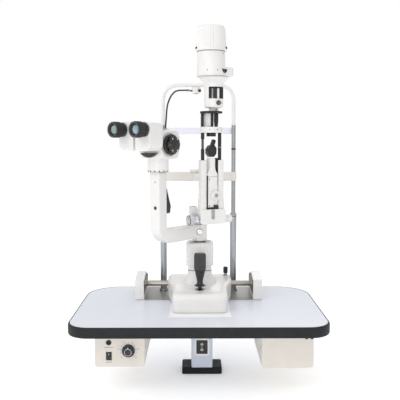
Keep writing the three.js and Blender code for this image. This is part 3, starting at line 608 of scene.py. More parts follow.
def softened_slab(outline, z0, z1, soft=1.0):
    return lofted(outline, [(soft * 1.2, z0), (0, z0), (0, z1), (soft * 1.2, z1)], soft)


def hollow_slab(outline, wall, z0, z1, soft=0.6):
    """A tube of any outline, open at both ends."""
    return lofted(outline, [(0, z0), (0, z1), (wall, z1), (wall, z0)], soft, closed=True)


def sized(shape, x=1.0, y=1.0, z=1.0):
    bmesh.ops.scale(shape, verts=shape.verts, vec=(x, y, z))
    return shape


def mirrored(shape):
    """The other hand of a shape, across X = 0."""
    bmesh.ops.scale(shape, verts=shape.verts, vec=(-1, 1, 1))
    bmesh.ops.reverse_faces(shape, faces=shape.faces)
    return shape


def lettering(text, size):
    """Raised print, standing up from z = 0."""
    curve = bpy.data.curves.new("print", "FONT")
    curve.body = text
    curve.size = size
    curve.extrude = 0.08
    curve.resolution_u = 3
    curve.align_x = "CENTER"
    curve.align_y = "CENTER"
    holder = bpy.data.objects.new("print", curve)
    bpy.context.scene.collection.objects.link(holder)
    bpy.context.view_layer.update()
    shape = bmesh.new()
    shape.from_mesh(holder.to_mesh())
    holder.to_mesh_clear()
    bpy.data.objects.remove(holder)
    bpy.data.curves.remove(curve)
    return tidy(shape)


def cylinder(radius, z0, z1, soft=0.0, segments=32):
    return turned([(0, z0), (radius, z0), (radius, z1), (0, z1)], soft, segments)


def ring(inner, outer, z0, z1, soft=0.4, segments=48):
    return turned([(inner, z0), (outer, z0), (outer, z1), (inner, z1)], soft, segments, closed=True)


def ridged(count, depth, low, high):
    """A ripple for turned shapes: rounded ridges between two heights."""
    def ripple(angle, radius, height):
        if not low <= height <= high:
            return radius
        return radius - depth * (0.5 - 0.5 * math.cos(angle * count)) ** 2
    return ripple


def placed(parts, x=0.0, y=0.0, z=0.0):
    """Moves (shape, finish) pairs."""
    return [(moved(shape, x, y, z), look) for shape, look in parts]


def fronted(parts, x, z):
    """Points (shape, finish) pairs at the operator."""
    return [(to_front(shape, x, 0, z), look) for shape, look in parts]


def crosswise(parts, y, z):
    """Lays (shape, finish) pairs along X."""
    return [(along_x(shape, 0, y, z), look) for shape, look in parts]


def in_finish(look, shapes):
    return [(shape, look) for shape in shapes]


def spun(shape, degrees):
    return turned_by(shape, Matrix.Rotation(math.radians(degrees), 4, "Z"))


def heads_round(turns, reach, height, look, *screw):
    """Screw heads that stand out from the Z axis at the given angles from +X."""
    return [(spun(to_front(disc_screw(*screw), 0, -reach, height), turn + 90), look) for turn in turns]


# ---- foot and lifting column ----
def add_column():
    low, high = ROOM.span("foot_plate")
    profile = [(2, low.z), (0.4, low.z + 0.2), (0, low.z + 2), (0, high.z - 1.5), (1.6, high.z), (4, high.z)]
    foot = lofted(slab_outline(low.x, high.x, low.y, high.y, 5), profile, 1.2)
    spots = [(x, y) for x in (low.x + 10, high.x - 10) for y in (low.y + 10, high.y - 10)]
    parts = [(foot, "foot")]
    parts += [(moved(cylinder(5, low.z, low.z + 0.5, 0.1), x, y), "edging") for x, y in spots]
    parts += [(moved(disc_screw(3.4, 1.0, 1.2), x, y, high.z - 0.4), "anodised") for x, y in spots]
    remake("foot_plate", ROOM, "foot", parts)

    low, high = ROOM.span("outer_column")
    outline = slab_outline(low.x, high.x, low.y, high.y, 4)
    tube_wall = hollow_slab(outline, 3, low.z, high.z)
    wiper = hollow_slab(lambda inset: outline(inset + 1.2), 2.6, high.z - 5, high.z + 0.9, 0.4)
    remake("outer_column", ROOM, "foot", [(tube_wall, "column"), (wiper, "black")])

    low, high = ROOM.span("inner_column")
    outer_low, outer_high = ROOM.span("outer_column")
    sleeve = slab_outline(outer_low.x + 4, outer_high.x - 4, outer_low.y + 4, outer_high.y - 4, 3)
    plate = softened_slab(slab_outline(low.x, high.x, low.y, high.y, 8), high.z - 5.7, high.z, 0.8)
    bolts = [(x, y) for x in (low.x + 12, high.x - 12) for y in (low.y + 12, high.y - 12)]
    parts = [(hollow_slab(sleeve, 3, low.z, high.z - 4), "column"), (plate, "foot")]
    parts += [(moved(disc_screw(4, 2, 1.2), x, y, high.z - 7.4), "steel") for x, y in bolts]
    remake("inner_column", ROOM, "table", parts)


def add_switch_panel():
    low, high = ROOM.span("column_bezel")
    outline = slab_outline(low.x, high.x, low.z, high.z, 6)
    profile = [(0, -high.y), (0.3, -low.y - 1), (1.4, -low.y), (4.2, -low.y), (5, -low.y - 1), (5, -high.y)]
    remake("column_bezel", ROOM, "foot", [(to_front(lofted(outline, profile, 0.6, closed=True)), "moulding")])

    low, high = ROOM.span("switch_panel")
    heights = [ROOM.middle(node).z for node in ("up_button", "down_button")]
    middle = (low.x + high.x) / 2
    plate = to_front(softened_slab(slab_outline(low.x, high.x, low.z, high.z, 1.5), -high.y, -low.y, 0.4))
    wells = [to_front(cylinder(4, -high.y - 3, -low.y + 3, 0, 40), middle, 0, height) for height in heights]
    rims = [to_front(ring(4, 4.7, -low.y - 0.4, -low.y + 0.25, 0.2), middle, 0, height) for height in heights]
    dot = to_front(cylinder(1.5, -low.y - 0.5, -low.y + 0.3, 0.15), middle, 0, (low.z + high.z) / 2)
    parts = [(carved(plate, *wells), "black"), (dot, "pale_print")] + in_finish("anodised", rims)
    remake("switch_panel", ROOM, "foot", parts)
    for node, tip in (("up_button", 1), ("down_button", -1)):
        low, high = ROOM.span(node)
        height = (low.z + high.z) / 2
        cap = turned([(0, -high.y), (3.4, -high.y), (3.4, -low.y - 0.6), (2.6, -low.y), (0, -low.y + 0.1)],
                     0.4)
        mark = prism([(-1.1, -0.5 * tip), (1.1, -0.5 * tip), (0, 0.9 * tip)], -low.y - 0.2, -low.y + 0.25, 0)
        parts = [(sized(cap, y=0.75), "pale_print"), (mark, "print")]
        remake(node, ROOM, node, fronted(parts, middle, height))


# ---- table and what hangs under it ----
def table_outline(low, high):
    return slab_outline(low.x, high.x, low.y, high.y, TABLE_FRONT_RADIUS, TABLE_BACK_RADIUS)


def add_table():
    low, high = ROOM.span("tabletop")
    outline = table_outline(low, high)
    remake("tabletop", ROOM, "table", [(softened_slab(outline, low.z, high.z, 0.6), "laminate")])
    low, high = ROOM.span("edge_trim")
    outline = table_outline(low, high)
    profile = [(3.5, low.z), (1.5, low.z), (0.2, low.z + 2), (0, low.z + 8), (0, high.z - 7),
               (0.3, high.z - 2), (1.6, high.z), (3.5, high.z)]
    remake("edge_trim", ROOM, "table", [(lofted(outline, profile, 1.4, closed=True), "edging")], sharp=50)
    low, high = ROOM.span("glide_plate")
    post = ROOM.middle("right_headrest_post")
    base = ROOM.middle("base_shell")
    rail_front = ROOM.span("right_rail")[0].y
    front = slab_outline(base.x - 73, base.x + 73, low.y, rail_front + 6, 4)
    front = softened_slab(front, low.z, high.z, 0.3)
    # painted shade: the back of the glide plate is a dark grey brushed sheet where shade falls under the
    # axle; the front part is white
    back = softened_slab(slab_outline(low.x, high.x, rail_front, high.y, 1), low.z, high.z - 0.2, 0.2)
    holes = [moved(cylinder(12.3, low.z - 3, high.z + 3), x, post.y) for x in (-post.x, post.x)]
    remake("glide_plate", ROOM, "table", [(front, "plate"), (carved(back, *holes), "sheet")])
    low, high = ROOM.span("edge_trim")
    feet = [(x, low.y + 8) for x in (high.x - 48, high.x - 60)]
    stops = [moved(cylinder(3.2, low.z - 3.2, low.z + 1, 0.9), x, y) for x, y in feet]
    piece("table_stops", ROOM, "table", in_finish("edging", stops))


def folded_box(node):
    """A folded sheet box, open at the front."""
    corner = 6
    low, high = ROOM.span(node)
    outline = slab_outline(low.x, high.x, low.z, high.z, corner, 3)
    outer = to_front(softened_slab(outline, -high.y, -low.y, 0.8))
    inner = to_front(prism(outline(SHEET), -high.y + SHEET, -low.y + 5, 0))
    return carved(outer, inner), low, high


def side_screws(low, high):
    made = []
    for direction in (-1, 1):
        for y in (low.y + 22, high.y - 22):
            head = disc_screw(2.6, 1.0, 0.9)
            wall = high.x if direction > 0 else -low.x
            laid = along_x(head, wall - 0.4, y, (low.z + high.z) / 2)
            made.append((laid if direction > 0 else mirrored(laid), "steel"))
    return made


def add_power_box():
    case, low, high = folded_box("power_box")
    remake("power_box", ROOM, "table", [(case, "cream")] + side_screws(low, high))

    low, high = ROOM.span("power_panel")
    face = -low.y
    rocker_low, rocker_high = ROOM.span("power_rocker")
    jack, rocker, knob = [ROOM.middle(node) for node in ("fixation_jack", "power_rocker", "brightness_knob")]
    panel = to_front(softened_slab(slab_outline(low.x, high.x, low.z, high.z, 6, 3), -high.y, face, 0.7))
    opening = slab_outline(-6.6, 6.6, -9.8, 9.8, 0.8)(0)
    panel = carved(
        panel,
        to_front(cylinder(5.2, face - 9, face + 3), jack.x, 0, jack.z),
        to_front(cylinder(3.5, face - 9, face + 3), knob.x, 0, knob.z),
        to_front(prism(opening, face - 9, face + 3, 0), rocker.x, 0, rocker.z),
    )
    prints = []
    dots_reach, digits_reach = 18.2, 23
    for step in range(11):
        angle = math.radians(225 - 27 * step)
        across, up = math.cos(angle), math.sin(angle)
        dot = cylinder(0.8, face - 0.3, face + 0.12, 0, 12)
        prints.append(to_front(dot, knob.x + dots_reach * across, 0, knob.z + dots_reach * up))
        if step % 2 == 0:
            digit = lettering(str(step), 4.6)
            place = (knob.x + digits_reach * across, low.y + 0.02, knob.z + digits_reach * up)
            prints.append(to_front(digit, *place))
    for height, width in ((jack.z - 11, 20), (rocker.z - 14, 14)):
        line = prism(slab_outline(-width / 2, width / 2, -0.5, 0.5, 0.4)(0), face - 0.3, face + 0.1, 0)
        prints.append(to_front(line, jack.x, 0, height))
    remake("power_panel", ROOM, "table", [(panel, "cream")] + in_finish("print", prints))

    socket = turned([(2.4, face - 12), (4.9, face - 12), (4.9, face), (6.2, face + 0.3), (6.2, face + 1.2),
                     (5.2, face + 2), (2.4, face + 1.4)], 0.4, closed=True)
    contact = ring(2.0, 2.7, face - 11, face - 3, 0.2)
    parts = [(socket, "anodised"), (contact, "steel")]
    remake("fixation_jack", ROOM, "table", fronted(parts, jack.x, jack.z))
    half = (rocker_high.z - rocker_low.z) / 2
    side = [(face - 4.5, -half + 1), (face - 4.5, half - 1), (face + 2.4, half), (face + 1.2, 0),
            (face + 2.4, -half)]
    paddle = prism(soften([(-y, z) for y, z in side], 1.2, closed=True), rocker_low.x, rocker_high.x, 0.5)
    spot = to_front(cylinder(1.1, face + 1.2, face + 2.15, 0.1, 20), rocker.x, 0, rocker.z + half * 0.55)
    parts = [(along_x(paddle, 0, 0, rocker.z), "black"), (spot, "pale_print")]
    remake("power_rocker", ROOM, "power_rocker", parts)

    skirt = turned([(0, face + 0.5), (15, face + 0.5), (15, face + 2.5), (13.4, face + 7.6), (0, face + 8)],
                   0.7)
    cap = turned([(0, face + 7), (12, face + 7), (11.4, face + 13.4), (9.6, face + 14), (0, face + 13.6)],
                 0.6, 120, ridged(24, 0.8, face + 7.4, face + 13.6))
    shaft = cylinder(3, face - 14, face + 2, 0.5)
    inlay = ring(7.4, 8.2, face + 13.2, face + 14.1, 0.2)
    pointer = block((-0.7, 8.4, face + 12.6), (0.7, 11.6, face + 14.0), 0.2)
    tick = block((-0.5, 12.2, face + 4.4), (0.5, 14.2, face + 6.6), 0.15)
    parts = [(skirt, "black"), (cap, "black"), (shaft, "steel"), (inlay, "chrome"), (pointer, "pale_print"),
             (tick, "pale_print")]
    remake("brightness_knob", ROOM, "brightness_knob", fronted(parts, knob.x, knob.z))

    low, high = ROOM.span("transformer")
    core = block((low.x, low.y + 12, low.z), (high.x, high.y - 12, high.z), 1.5)
    coil = block((low.x + 10, low.y, low.z + 8), (high.x - 10, high.y, high.z - 8), 5)
    strap = block((low.x + 22, low.y + 11, low.z + 1), (high.x - 22, high.y - 11, high.z + 0.6), 0.8)
    remake("transformer", ROOM, "table", [(core, "foot"), (coil, "winding"), (strap, "steel")])


def add_drawer():
    case, low, high = folded_box("drawer_housing")
    remake("drawer_housing", ROOM, "table", [(case, "cream")] + side_screws(low, high))
    low, high = ROOM.span("drawer_tray")
    case_low = ROOM.span("drawer_housing")[0]
    fascia = slab_outline(low.x, high.x, low.z, high.z, 6, 3)
    profile = [(0.6, -case_low.y + 0.3), (0, -case_low.y + 1), (0, -low.y - 1.2), (1.6, -low.y), (4, -low.y)]
    face = to_front(lofted(fascia, profile, 0.8))
    left, right, floor = low.x + 4.5, high.x - 4.5, low.z + 3.2
    tray = block((left, case_low.y - 1, floor), (right, high.y, floor + 58), 0.6)
    hollow = block((left + 2, case_low.y + 0.5, floor + 2), (right - 2, high.y - 2, floor + 70), 0)
    liner = block((left + 2.1, case_low.y + 0.6, floor + 1.8), (right - 2.1, high.y - 2.1, floor + 2.9), 0.3)
    lip = block((low.x + 20, case_low.y - 3.2, low.z - 0.4), (high.x - 20, case_low.y + 0.2, low.z + 2), 0.7)
    parts = [(face, "cream"), (carved(tray, hollow), "cream"), (liner, "edging"), (lip, "cream")]
    remake("drawer_tray", ROOM, "drawer", parts)


# ---- rails and axle ----
def gear_outline(teeth, root, tip, root_half, tip_half):
    points = []
    for tooth in range(teeth):
        middle = 2 * math.pi * tooth / teeth - math.pi / 2
        for radius, width in ((root, -root_half), (tip, -tip_half), (tip, tip_half), (root, root_half)):
            angle = middle + width / radius
            points.append((radius * math.cos(angle), radius * math.sin(angle)))
    return soften(points, 0.3, closed=True, steps=1)


def add_rails():
    low, high = ROOM.span("right_rail")
    axle = ROOM.middle("wheel_axle")
    wall = 4
    pitch = 2 * math.pi * GEAR_RADIUS / GEAR_TEETH

    def outline(inset, floor):
        sides = [(low.y + inset, floor), (high.y - inset, floor), (high.y - inset, high.z - 19 - inset),
                 (axle.y + 6, high.z - inset), (axle.y, high.z - inset), (low.y + inset, high.z - 10 - inset)]
        return soften(sides, 3 if not inset else 0, closed=True)

    def make(side):
        cover = along_x(prism(outline(0, low.z), low.x, high.x, 1.2))
        hollow = along_x(prism(outline(wall, low.z + 3.7), low.x - 1, high.x - wall, 0))
        floor, valley, tip = low.z + 3.2, axle.z - 13.8, axle.z - 11.6
        start, end = [axle.y + side * (RACK_REACH + 0.5) * pitch for side in (-1, 1)]
        teeth = [(start, valley), (start, floor), (end, floor), (end, valley)]
        for step in range(RACK_REACH - 1, -RACK_REACH - 1, -1):
            middle = axle.y + (step + 0.5) * pitch
            teeth += [(middle + TOOTH_ROOT, valley), (middle + TOOTH_TIP, tip), (middle - TOOTH_TIP, tip),
                      (middle - TOOTH_ROOT, valley)]
        rack = along_x(prism(teeth, low.x + 3, high.x - wall + 0.5, 0))
        parts = [(carved(cover, hollow), "enamel"), (rack, "gear")]
        for y in (low.y + 18, high.y - 12):
            parts.append((along_x(disc_screw(2.6, 1.0, 0.8), high.x - 0.5, y, low.z + 16), "steel"))
        return parts if side > 0 else [(mirrored(shape), look) for shape, look in parts]

    remake("right_rail", ROOM, "table", make(1))
    remake("left_rail", ROOM, "table", make(-1))


def add_axle():
    middle = ROOM.middle("wheel_axle")
    reach = ROOM.span("wheel_axle")[1].x - middle.x
    radius = AXLE_RADIUS
    profile = [(0, -reach + 1), (radius, -reach + 1)]
    for side in (-1, 1):
        first, last = sorted((side * (reach - 16), side * (reach - 12)))
        profile += [(radius, first), (radius - 0.6, first + 0.5), (radius - 0.6, last - 0.5), (radius, last)]
    profile += [(radius, reach - 1), (0, reach - 1)]
    bar = along_x(turned(profile, 0.4), middle.x, middle.y, middle.z)
    parts = [(bar, "axle")]
    for side in (-1, 1):
        start, end = sorted((side * reach, side * (reach - 9)))
        wheel = prism(gear_outline(GEAR_TEETH, 10.9, 13, TOOTH_ROOT, TOOTH_TIP), start, end, 0)
        parts.append((along_x(wheel, middle.x, middle.y, middle.z), "gear"))
        hub = cylinder(5, start - 0.4, end + 0.4, 0.5)
        parts.append((along_x(hub, middle.x, middle.y, middle.z), "steel"))
    remake("wheel_axle", ROOM, "axle", parts)
    low, high = ROOM.span("axle_sleeve")
    sleeve = ring(radius + 0.4, 11.3, low.x, high.x, 0.6)
    remake("axle_sleeve", ROOM, "carriage", [(along_x(sleeve, 0, middle.y, middle.z), "steel")])


# ---- base, joystick and rising post ----
def base_rings(low, high, top):
    """The shell's skin: the plan, shrunk towards its centre, from the inside out and over the crowned top."""
    plan = [(-67, low.y), (-34, low.y - 0.5), (34, low.y - 0.5), (67, low.y), (67.5, -62), (71, -36),
            (79, -8), (high.x, 22), (high.x, high.y), (low.x, high.y), (low.x, 22), (-79, -8), (-71, -36),
            (-67.5, -62)]
    outline = soften(plan, 30, closed=True, steps=7)
    centre = Vector((0, -20))

    def crown(y):
        t = min(max((y + 110) / 130, 0), 1)
        return top - 2.5 + 7.5 * t * t * (3 - 2 * t)

    def ring_at(scale, height):
        made = []
        for point in outline:
            spot = centre + (point - centre) * scale
            made.append(Vector((spot.x, spot.y, height(spot.y))))
        return made

    def flat(z):
        return lambda y: z

    def under(drop):
        return lambda y: crown(y) - drop

    inner = [(0.4, under(7)), (0.86, under(7)), (0.92, under(8)), (0.935, under(12)), (0.94, flat(low.z + 1)),
             (0.95, flat(low.z)), (0.962, flat(low.z)), (0.972, flat(low.z + 1.2)), (0.985, flat(low.z + 10)),
             (0.996, flat(low.z + 24)), (1.0, under(14)), (0.998, under(9.5)), (0.99, under(5.6)),
             (0.972, under(2.6)), (0.945, under(0.7)), (0.91, under(0.1)), (0.87, under(0.3)),
             (0.8, under(1.4)), (0.7, under(2.2)), (0.55, under(2.4)), (0.3, under(1.6)), (0.12, under(1.0))]
    rings = [[Vector((centre.x, centre.y, crown(centre.y) - 7))]]
    rings += [ring_at(scale, height) for scale, height in inner]
    rings.append([Vector((centre.x, centre.y, crown(centre.y) - 1))])
    return rings


def add_base():
    low, high = INSTRUMENT.span("base_shell")
    top = 233
    stick = INSTRUMENT.point("stick_fore_aft")
    axle = INSTRUMENT.point("axle_turn")
    lock = INSTRUMENT.point("base_lock_turn")
    bores = [along_x(cylinder(SLEEVE_BORE, -120, 120, 0, 48), 0, axle.y, axle.z) for _ in range(2)]
    shell = carved(skin(base_rings(low, high, top)), moved(cylinder(11, 205, 250, 0, 48), 0, stick.y),
                   bores[0], moved(cylinder(3.4, 215, 260, 0, 24), lock.x, lock.y))
    tunnel = block((low.x + 4, axle.y - 13.7, axle.z - 13.7), (high.x - 4, axle.y + 13.7, top - 3), 1)
    tunnel = carved(tunnel, bores[1])
    neck = slab_outline(-30.5, 30.5, -29, 29, 15)
    profile = [(-4, top - 6), (-13, top - 1), (-11.5, top + 2.2), (-7, top + 6), (-3.4, top + 11),
               (-1, top + 17), (0, top + 24), (0, high.z - 0.8), (1, high.z), (6, high.z)]
    remake("base_shell", INSTRUMENT, "base", [(shell, "casting"), (lofted(neck, profile, 2.2), "casting"),
                                              (tunnel, "shaded")], sharp=40)
    low, high = INSTRUMENT.span("height_guide")
    guide = lofted(slab_outline(low.x, high.x, low.y, high.y, 10),
                   [(0, low.z), (0, high.z), (12, high.z), (12, low.z)], 0.6, closed=True)
    seam = slab_outline(low.x - 0.4, high.x + 0.4, low.y - 0.4, high.y + 0.4, 10)
    seam = hollow_slab(seam, 1.4, low.z, low.z + 0.9, 0.2)
    remake("height_guide", INSTRUMENT, "base", [(guide, "enamel"), (seam, "seam")])

    low, high = INSTRUMENT.span("base_lock_knob")
    knob = turned([(0, high.z - 17.6), (4.6, high.z - 17.6), (6, high.z - 15.6), (6, high.z - 1.2),
                   (5, high.z), (0, high.z - 0.5)], 0.5, 96, ridged(16, 0.7, high.z - 15.4, high.z - 1.4))
    stem = cylinder(2.9, low.z, high.z - 15, 0.4)
    collar = ring(3.4, 5.4, high.z - 22.4, high.z - 20.6, 0.3)
    parts = [(knob, "black"), (stem, "steel"), (collar, "steel")]
    remake("base_lock_knob", INSTRUMENT, "base_lock", placed(parts, lock.x, lock.y))


def add_joystick():
    stick = INSTRUMENT.point("stick_fore_aft")
    low, high = INSTRUMENT.span("joystick_gimbal")
    rings = [(ring(8, 12, low.z, high.z, 0.6), "steel"),
             (ring(5, 7.4, low.z + 0.6, high.z - 0.6, 0.5), "axle")]
    remake("joystick_gimbal", INSTRUMENT, "gimbal", placed(rings, stick.x, stick.y))

    low, high = INSTRUMENT.span("joystick_shaft")
    grip_low, grip_high = INSTRUMENT.span("joystick_grip")
    skirt = 238.9
    cone = turned([
        (0, low.z), (4.5, low.z), (4.5, skirt), (14, skirt), (14, skirt + 1.5), (11.6, 241.6), (8.2, 244),
        (7.1, 248.5), (7.4, 252), (12.9, grip_low.z - 3), (13.4, grip_low.z - 0.4), (6, grip_low.z - 0.3),
        (6, high.z), (0, high.z),
    ], 1.2)
    remake("joystick_shaft", INSTRUMENT, "stick", [(moved(cone, stick.x, stick.y), "black")])

    radius = 14.6
    grip = turned([
        (6.4, grip_low.z), (13.6, grip_low.z), (radius, grip_low.z + 1.6), (radius, grip_high.z - 4.4),
        (radius - 0.7, grip_high.z - 3.9), (radius - 0.7, grip_high.z - 3.2),
        (radius - 0.2, grip_high.z - 2.6), (12.6, grip_high.z - 0.3), (0, grip_high.z),
        (0, grip_high.z - 1.2), (0, grip_low.z + 17), (6.4, grip_low.z + 17),
    ], 0.6, 144, ridged(24, 0.9, grip_low.z + 2, grip_high.z - 4.5))
    cap = turned([(0, grip_high.z - 0.3), (9.4, grip_high.z - 0.3), (8.8, grip_high.z + 0.3),
                  (0, grip_high.z + 0.5)], 0.2)
    remake("joystick_grip", INSTRUMENT, "grip", placed([(grip, "grip"), (cap, "black")], stick.x, stick.y))


def add_post():
    low, high = INSTRUMENT.span("post_shell")
    outline = slab_outline(low.x, high.x, low.y, high.y, 16)
    cavity_top = 326
    profile = [(5, cavity_top), (5, low.z), (1, low.z), (0, low.z + 1.5), (0, high.z - 6), (1, high.z - 2.6),
               (3.4, high.z - 0.6), (6, high.z), (7.6, high.z - 0.4), (8.4, high.z - 1.8),
               (11, high.z - 2.2), (25, high.z - 2.2)]
    shell = lofted(outline, profile, 1.4)
    recess = softened_slab(slab_outline(low.x + 8.8, high.x - 8.8, low.y + 8.8, high.y - 8.8, 8),
                           high.z - 2.4, high.z - 1.7, 0.2)
    corner = softened_slab(slab_outline(low.x + 9.5, low.x + 18, low.y + 9.5, low.y + 26, 3), high.z - 1.9,
                           high.z - 1.2, 0.2)
    boss = ring(11.3, 15, high.z - 2.4, high.z + 0.2, 0.4)
    remake("post_shell", INSTRUMENT, "post", [(shell, "enamel"), (recess, "shaded"), (corner, "print"),
                                              (boss, "steel")], sharp=40)
    low, high = INSTRUMENT.span("pivot_spindle")
    radius = (high.x - low.x) / 2
    spindle = turned([(0, low.z - 1), (radius, low.z - 1), (radius, high.z - 1.2), (radius - 1.2, high.z),
                      (3, high.z), (2.2, high.z - 1.6), (0, high.z - 1.6)], 0.4)
    remake("pivot_spindle", INSTRUMENT, "post", [(spindle, "steel")])


# ---- microscope, in its own swung frame: the operator is at -Y ----
def arm_side_view(top, bottom, inner, outer, shoulder, bend):
    """The arm's J, seen from its side as (y, z)."""
    points = [Vector((-9, bottom)), Vector((outer + bend, bottom))]
    points += arc((outer + bend, bottom + bend), bend, 270, 180, 12)
    points += [Vector((outer, top)), Vector((inner, top))]
    points += arc((inner + 14, shoulder + 14), 14, 180, 270, 8)
    return points + [Vector((-9, shoulder))]


def add_arm():
    low, high = SCOPE.span("microscope_arm")
    lock = SCOPE.point("swing_lock_turn")
    bottom, shoulder = low.z + 9, low.z + 42
    outer, inner = low.y, low.y + 27
    limb = along_x(prism(arm_side_view(high.z, bottom, inner, outer, shoulder, 43), -16, 16, 3.4))
    hub = cylinder(19, low.z, shoulder + 0.4, 1.6, 64)
    facing = -heading("magnification_turn")
    bore = spun(to_front(cylinder(8.2, 19.7, 60, 0, 40), 0, 0, lock.z), facing)
    neat = carved(united(limb, hub), cylinder(SPINDLE_BORE, low.z - 9, shoulder + 9, 0, 48), bore)
    plug_height, screw_height = low.z + 96, low.z + 157
    parts = [
        (neat, "casting"),
        (to_front(turned([(0, 0), (4.4, 0), (4.4, 0.5), (3.6, 1.0), (0, 0.7)], 0.2), 3, outer, plug_height),
         "black"),
        (to_front(disc_screw(2.0, 0.7, 0.6), 3, outer + 0.2, screw_height), "steel"),
        (softened_slab(slab_outline(-15, 15, outer + 1.2, inner - 1.2, 4), high.z - 1, high.z + 0.25, 0.2),
         "seam"),
    ]
    wedge = soften([(inner - 0.4, 483), (inner + 13.8, 440), (inner + 11, 423), (inner - 0.4, 423)], 2,
                   closed=True)
    parts.append((along_x(prism(wedge, -14, 15.4, 1.2)), "black"))
    remake("microscope_arm", SCOPE, "microscope", parts, sharp=40)

    head = turned([(0, 19.9), (6.4, 19.9), (7.4, 21.2), (7.4, 28.4), (6.4, 29.8), (2.6, 30), (2.2, 28.8),
                   (0, 28.8)],
                  0.5, 96, ridged(16, 0.9, 21, 28.6))
    shaft = cylinder(3, 13, 21, 0.3)
    parts = fronted([(head, "chrome"), (shaft, "steel")], 0, lock.z)
    remake("swing_lock_screw", SCOPE, "swing_lock", [(spun(shape, facing), look) for shape, look in parts])


def add_microscope_body():
    low = SCOPE.span("microscope_body")[0]
    axis = SCOPE.point("magnification_turn")
    neck = turned([(0, low.z), (24.2, low.z), (24.5, low.z + 1), (24.5, low.z + 31), (27, low.z + 36),
                   (0, low.z + 36)], 1.6, 64)
    half = 37
    reach = 33.5
    side = soften([(axis.y - 24.8, axis.z - reach), (axis.y + reach, axis.z - reach),
                   (axis.y + reach, axis.z + reach), (axis.y - 24.8, axis.z + reach)], 15, closed=True,
                  steps=8)
    housing = along_x(prism(side, -half, half, 3))
    nose = to_front(softened_slab(slab_outline(-34, 34, 562, 612, 12), 112, 150, 2))
    bore = along_x(cylinder(SHAFT_BORE, -60, 60, 0, 24), 0, axis.y, axis.z)
    seat = turned([(0, low.z - 0.1), (24.8, low.z - 0.1), (24.8, low.z + 1.6), (0, low.z + 1.6)], 0.3)
    screws = heads_round(range(-118, 13, 26), 24.3, low.z + 2.8, "anodised", 1.5, 0.7, 0.5)
    parts = [(carved(housing, bore), "casting"), (moved(neck, 0, axis.y), "casting"), (nose, "casting"),
             (moved(seat, 0, axis.y), "shaded")] + placed(screws, 0, axis.y)
    dial_plate = along_x(ring(25.2, 27.4, half - 0.4, half + 0.5, 0.3), 0, axis.y, axis.z)
    parts.append((dial_plate, "shaded"))
    remake("microscope_body", SCOPE, "microscope", parts, sharp=40)

    centre, chord = 592, 568.2
    outline = [point for point in circle(36, (0, centre), 96) if point.y < chord]
    moon = to_front(prism(outline, 175.6, 185, 1.2))
    wider = [Vector((point.x * 1.03, centre + (point.y - centre) * 1.03)) for point in outline]
    lip = to_front(prism(wider, 175.4, 177.4, 0.6))
    remake("binocular_mount", SCOPE, "microscope", [(moon, "black"), (lip, "casting")])

    low, high = SCOPE.span("objective_lens")
    cell = ring(19, 24, -high.y, -low.y + 0.4, 0.6)
    glass = turned([(0, 106.2), (9, 106.7), (19.3, 108.6), (19.3, 110.4), (0, 110.4)], 0.6)
    grips = ring(24, 24.9, 107.2, 110.6, 0.3)
    parts = [(cell, "anodised"), (glass, "dark_lens"), (grips, "black")]
    remake("objective_lens", SCOPE, "microscope", fronted(parts, 0, axis.z))


def add_magnification_knob():
    low, high = SCOPE.span("magnification_knob")
    axis = SCOPE.point("magnification_turn")
    wide = turned([(0, 38), (23.2, 38), (24.4, 39.2), (24.4, 44.6), (22.8, 46), (0, 46)], 0.8, 144,
                  ridged(12, 1.4, 38.4, 45.6))
    lobes = turned([(0, 45), (19.6, 45), (19.8, 52), (17.6, 54.4), (0, 55)], 1.2, 144,
                   ridged(6, 3.0, 45.4, 54.2))
    far = turned([(0, -46), (22.8, -46), (24.4, -44.6), (24.4, -39.2), (23.2, -38), (0, -38)], 0.8, 144,
                 ridged(12, 1.4, -45.6, -38.4))
    shaft = cylinder(4, low.x + 1, high.x - 2, 0.3)
    parts = [(wide, "black"), (lobes, "black"), (far, "black"), (shaft, "steel")]
    for step in range(6):
        look = "red_print" if step in (0, 3) else "pale_print"
        mark = prism(slab_outline(-1.9, 1.9, -1.6, 1.6, 1.4)(0), 54.0, 54.75, 0.2)
        parts.append((spun(moved(mark, 15.4, 0, 0), 60 * step), look))
    parts.append((turned([(0, 54.4), (4, 54.4), (3.6, 55.1), (0, 55.2)], 0.2), "anodised"))
    remake("magnification_knob", SCOPE, "magnification", crosswise(parts, axis.y, axis.z))


